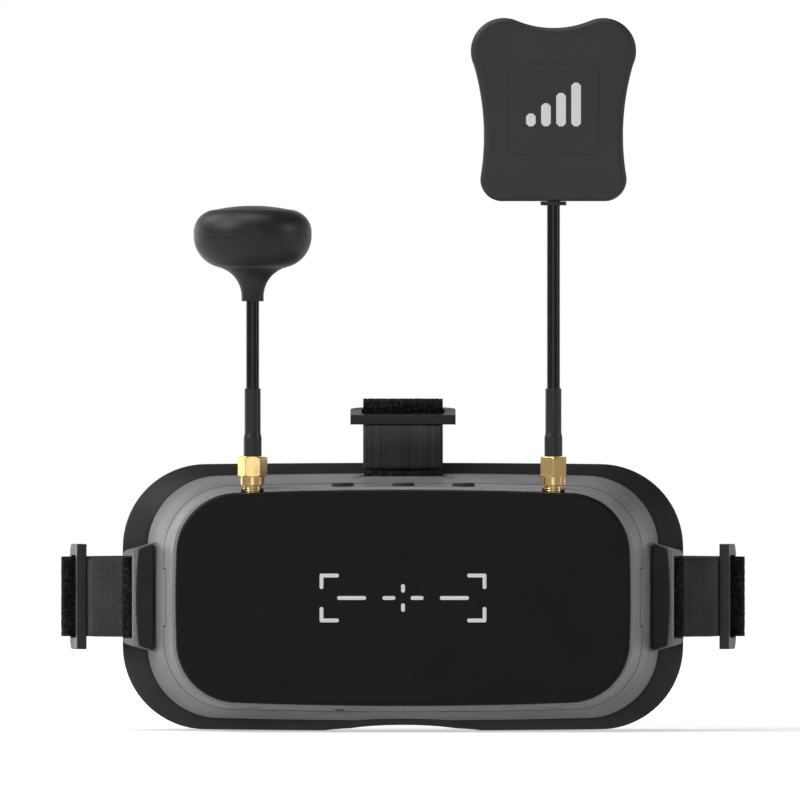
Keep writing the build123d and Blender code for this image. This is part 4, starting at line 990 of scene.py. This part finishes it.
SEAM_R = 0.24
SEAM_SINK = 0.12
LATCH_HALF = 9.2         # the seam line stops at the latches on top and underneath
seam = Shape()
seam_loop = housing_edge(Y_SEAM, SEAM_SINK)
seam_loop = resampled(seam_loop + seam_loop[:1], 1.0)
ahead = Y_SEAM - TONGUE_L
for sign_x in (1, -1):
    for sign_z in (1, -1):
        quarter = [p for p in seam_loop if p.x * sign_x > LATCH_HALF and p.y * sign_z > TONGUE_H / 2]
        quarter.sort(key=lambda p: math.atan2(p.y * sign_z, p.x * sign_x))
        # Along the upper or lower edge of the side tongue, and then round the seam
        path = []
        for y in (ahead + 2.7, ahead + 5.3, Y_SEAM):
            x = sign_x * (edge_x(y, TONGUE_H / 2) - SEAM_SINK)
            path.append(Vector((x, y, sign_z * TONGUE_H / 2)))
        path += [Vector((p.x, Y_SEAM, p.y)) for p in quarter]
        tube(seam, path, SEAM_R)
    front = []
    for share in (-1.0, -0.5, 0.0, 0.5, 1.0):
        z = share * TONGUE_H / 2
        front.append(Vector((sign_x * (edge_x(ahead, z) - SEAM_SINK), ahead, z)))
    tube(seam, front, SEAM_R)
seam.piece("seam_line", "gasket", "goggles", "black_plastic")

JACK_R = 3.12
THREAD_PITCH = 0.706
THREAD_DEPTH = 0.28
JACK_TOP = 41.8
SHOULDER_BASE = 27.4
SHOULDER_TOP = 30.2
JACK_TAIL = 24.0
THREAD_END = 0.6         # below the top
JACK_SIDES = 40
TAIL_HALF = (3.2, 1.7)
# Height from the top, and radius: the chamfer, the mouth and the bore down to its contact
MOUTH = [(-0.4, 2.95), (0.0, 2.7), (0.0, 2.35), (-3.0, 2.3), (-3.0, 0.5), (-4.4, 0.5)]
# Height and radius of the shoulder, chamfered at both ends
SHOULDER = [(SHOULDER_BASE, 3.3), (SHOULDER_BASE + 0.3, 3.7), (SHOULDER_TOP - 0.3, 3.7),
            (SHOULDER_TOP, 3.3)]


def ring(x, y, z, radii):
    """A loop about an upright axis, with its points evenly round it at the given radii."""
    made = []
    for k, radius in enumerate(radii):
        turn = math.tau * k / len(radii)
        made.append((x + radius * math.cos(turn), y + radius * math.sin(turn), z))
    return made


def thread_radii(z):
    """Radii round the threaded barrel at height z."""
    radii = []
    for k in range(JACK_SIDES):
        phase = (z / THREAD_PITCH - k / JACK_SIDES) % 1.0
        radii.append(JACK_R - THREAD_DEPTH * abs(2 * phase - 1))
    return radii


def threaded_jack(x, y):
    """The bulkhead jack: threaded barrel with a socket, hexagonal shoulder and solder tail."""
    shape = Shape()
    rows = []
    z = SHOULDER_BASE
    while z < JACK_TOP - THREAD_END:
        rows.append(ring(x, y, z, thread_radii(z)))
        z += THREAD_PITCH / 4
    rows += [ring(x, y, JACK_TOP + level, [radius] * JACK_SIDES) for level, radius in MOUTH]
    shape.rows(rows)
    shape.rows([ring(x, y, level, [radius] * 6) for level, radius in SHOULDER])
    a, b = TAIL_HALF
    corners = ((-a, -b), (a, -b), (a, b), (-a, b))
    shape.rows([[(x + c, y + d, level) for c, d in corners] for level in (JACK_TAIL, SHOULDER_BASE)])
    return shape


for side in ("left", "right"):
    at = middle(f"jack_{side}") / MM
    jack_piece = threaded_jack(at.x, at.y).piece(f"threaded_jack_{side}", "gold", "goggles", "gold")
    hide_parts(f"jack_{side}")


def plate(shape, outline, front, depth):
    """A thin printed shape: outline points (x, z), its face at depth front, facing -Y."""
    shape.rows([[(x, y, z) for x, z in outline] for y in (front, front + depth)])


def bar(x, z, width, height):
    """Outline of a small bar with softened corners, centred on x and z."""
    cut = min(width, height) * 0.3
    a, b = width / 2, height / 2
    return [(x - a + cut, z - b), (x + a - cut, z - b), (x + a, z - b + cut), (x + a, z + b - cut),
            (x + a - cut, z + b), (x - a + cut, z + b), (x - a, z + b - cut), (x - a, z - b + cut)]


PRINT_T = 0.06
OVERPRINT = 0.005        # keeps two overlapping faces of ink apart
MARK_W = 52.0
MARK_H = 14.0
MARK_ARM = 6.0
MARK_RISE = MARK_ARM * 0.7
MARK_LINE = 1.2
# x, z, width and height of the bars of the cross: its arms, its post and its outer dashes
CROSS = [(4.4, 0.0, 4.0, MARK_LINE), (0.0, 3.0, MARK_LINE, 2.6), (16.0, 0.0, 9.0, MARK_LINE)]
panel_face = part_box("front_panel")[0].y / MM
finder = Shape()
for sign_x in (1, -1):
    for sign_z in (1, -1):
        flat = bar(sign_x * (MARK_W - MARK_ARM) / 2, sign_z * MARK_H / 2, MARK_ARM, MARK_LINE)
        plate(finder, flat, panel_face - PRINT_T, PRINT_T)
        upright = bar(sign_x * (MARK_W - MARK_LINE) / 2, sign_z * (MARK_H - MARK_RISE) / 2,
                      MARK_LINE, MARK_RISE)
        plate(finder, upright, panel_face - PRINT_T - OVERPRINT, PRINT_T)
    for x, z, width, height in CROSS:
        plate(finder, bar(sign_x * x, sign_x * z, width, height), panel_face - PRINT_T, PRINT_T)
finder.piece("panel_mark", "mark", "goggles", "black_gloss", smooth=False)

patch_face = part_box("patch_front")[0].y / MM
patch_x = middle("patch_front").x / MM
BARS = 4
BAR_W = 3.0
BAR_GAP = 1.7
BAR_BASE = 147.0
BAR_FIRST = 4.0          # height of the first bar
BAR_GROWTH = 3.2
signal = Shape()
for k in range(BARS):
    height = BAR_FIRST + BAR_GROWTH * k
    across = (k - (BARS - 1) / 2) * (BAR_W + BAR_GAP)
    outline = bar(patch_x + across, BAR_BASE + height / 2, BAR_W, height)
    plate(signal, outline, patch_face - PRINT_T, PRINT_T)
signal.piece("patch_mark", "mark", "antenna_right", "black_plastic", smooth=False)

INLAY = 28.0
INLAY_Z = 152.5
INLAY_CORNER = 2.5
INLAY_SINK = 0.05
INLAY_LINE_R = 0.16
frame_line = Shape()
straight = INLAY / 2 - INLAY_CORNER
outline = []
for sign_x, sign_z, start in ((1, 1, 0), (-1, 1, 90), (-1, -1, 180), (1, -1, 270)):
    centre = (patch_x + sign_x * straight, INLAY_Z + sign_z * straight)
    for p in arc(centre, INLAY_CORNER, start, start + 90, 15.0):
        outline.append(Vector((p.x, patch_face + INLAY_SINK, p.y)))
tube(frame_line, outline, INLAY_LINE_R, closed=True)
frame_line.piece("patch_inlay_line", "patch", "antenna_right", "black_plastic")


# ========================= Floor, light and camera =======================================
FLOOR_BOUNCE = (0.55, 0.55, 0.55)
FLOOR_GLOW = (0.5, 1.0)   # near the goggles and far from them
FLOOR_FADE = (0.2, 1.1)   # in metres
UNDER_GLOW = 0.27
FLOOR_HALF = 6.0


def stage_floor():
    """A pale floor that shows from above only, so the goggles can be seen from underneath."""
    made, tree, shader, where = new_material("pale_floor")
    cloudy = add_noise(tree, where, 400.0, 3.0)
    seen = tree.nodes.new("ShaderNodeLightPath").outputs["Is Camera Ray"]
    pale = mix(tree, cloudy, (0.82, 0.82, 0.82), (0.88, 0.88, 0.88))
    tree.links.new(mix(tree, seen, FLOOR_BOUNCE, pale), shader.inputs["Base Color"])
    away = tree.nodes.new("ShaderNodeVectorMath")
    away.operation = "LENGTH"
    tree.links.new(where, away.inputs[0])
    glow = spread(tree, away.outputs["Value"], *FLOOR_GLOW, *FLOOR_FADE)
    shown = tree.nodes.new("ShaderNodeMapRange")
    tree.links.new(seen, shown.inputs["Value"])
    set_sockets(shown, To_Min=UNDER_GLOW)
    tree.links.new(glow, shown.inputs["To Max"])
    tree.links.new(shown.outputs["Result"], shader.inputs["Emission Strength"])
    set_sockets(shader, Roughness=0.9, Specular_IOR_Level=0.1, Emission_Color=(1, 1, 1, 1))
    facing = tree.nodes.new("ShaderNodeNewGeometry")
    clear = tree.nodes.new("ShaderNodeBsdfTransparent")
    one_way = tree.nodes.new("ShaderNodeMixShader")
    tree.links.new(facing.outputs["Backfacing"], one_way.inputs["Fac"])
    tree.links.new(shader.outputs["BSDF"], one_way.inputs[1])
    tree.links.new(clear.outputs["BSDF"], one_way.inputs[2])
    tree.links.new(one_way.outputs["Shader"], tree.nodes["Material Output"].inputs["Surface"])
    level = CAD_BOX[0].z
    corners = [(a * FLOOR_HALF, b * FLOOR_HALF, level) for a, b in ((-1, -1), (1, -1), (1, 1), (-1, 1))]
    mesh = bpy.data.meshes.new("floor")
    mesh.from_pydata(corners, [], [(0, 1, 2, 3)])
    floor = bpy.data.objects.new("floor", mesh)
    floor.data.materials.append(made)
    bpy.context.scene.collection.objects.link(floor)


AIM_AT = (0, -0.05, 0.02)
# Place in metres, size in metres and power of each light
LIGHTS = {
    "key_left": ((-1.3, -0.8, 1.2), (0.9, 1.2), 17.0),
    "side_right": ((1.7, -0.4, 0.6), (0.7, 1.0), 5.0),
    "rear_left": ((-1.6, 1.9, 0.2), (2.4, 1.0), 12.0),
    "rear_right": ((1.6, 1.9, 0.2), (2.0, 1.0), 4.0),
    "rear_top": ((-0.2, 2.4, 0.65), (1.6, 0.5), 2.0),
    "rim_left": ((-1.15, 0.6, 1.25), (0.8, 1.0), 8.0),
    "overhead": ((-0.2, -0.3, 1.8), (1.0, 0.8), 9.0),
    "fill_front": ((-0.2, -3.0, 0.2), (1.4, 1.4), 6.5),
}


def softbox(name, place, size, power):
    """A soft light aimed at the goggles and hidden from the camera."""
    light = bpy.data.lights.new(name, "AREA")
    light.shape = "RECTANGLE"
    light.size, light.size_y = size
    light.energy = power
    made = bpy.data.objects.new(name, light)
    made.location = place
    made.rotation_euler = (Vector(AIM_AT) - Vector(place)).to_track_quat("-Z", "Y").to_euler()
    made.visible_camera = False
    bpy.context.scene.collection.objects.link(made)


DOME_FRONT = 0.2
DOME_BACK = 0.03
DOME_TURN = (-0.6, 0.4)  # from front to back


def sky():
    """White behind the object, and a soft dome that is brighter in front than behind."""
    world = bpy.data.worlds.new("studio")
    bpy.context.scene.world = world
    world.use_nodes = True
    tree = world.node_tree
    way = tree.nodes.new("ShaderNodeTexCoord")
    axes = tree.nodes.new("ShaderNodeSeparateXYZ")
    tree.links.new(way.outputs["Generated"], axes.inputs[0])
    dome = tree.nodes["Background"]
    set_sockets(dome, Color=(1, 1, 1, 1))
    glow = spread(tree, axes.outputs["Y"], DOME_FRONT, DOME_BACK, *DOME_TURN)
    tree.links.new(glow, dome.inputs["Strength"])
    backdrop = tree.nodes.new("ShaderNodeBackground")
    set_sockets(backdrop, Color=(1, 1, 1, 1), Strength=1.0)
    ray = tree.nodes.new("ShaderNodeLightPath")
    choice = tree.nodes.new("ShaderNodeMixShader")
    tree.links.new(ray.outputs["Is Camera Ray"], choice.inputs["Fac"])
    tree.links.new(dome.outputs["Background"], choice.inputs[1])
    tree.links.new(backdrop.outputs["Background"], choice.inputs[2])
    tree.links.new(choice.outputs["Shader"], tree.nodes["World Output"].inputs["Surface"])


CAMERA_BACK = 11.0
SENSOR = 36.0
FIELD = 0.250            # width of the view, in metres, across the goggles
CAMERA_X = -0.94 * MM
CAMERA_Z = 61.7 * MM
stage_floor()
sky()
for name, values in LIGHTS.items():
    softbox(name, *values)

camera = bpy.data.objects.new("camera", bpy.data.cameras.new("camera"))
camera.data.sensor_width = SENSOR
camera.data.lens = SENSOR * (CAMERA_BACK + Y_SEAM * MM) / FIELD
camera.data.clip_start = 0.1
camera.data.clip_end = 100.0
camera.location = (CAMERA_X, -CAMERA_BACK, CAMERA_Z)
camera.rotation_euler = (math.radians(90), 0, 0)
bpy.context.scene.collection.objects.link(camera)
bpy.context.scene.camera = camera
bpy.context.scene.view_settings.view_transform = "Standard"
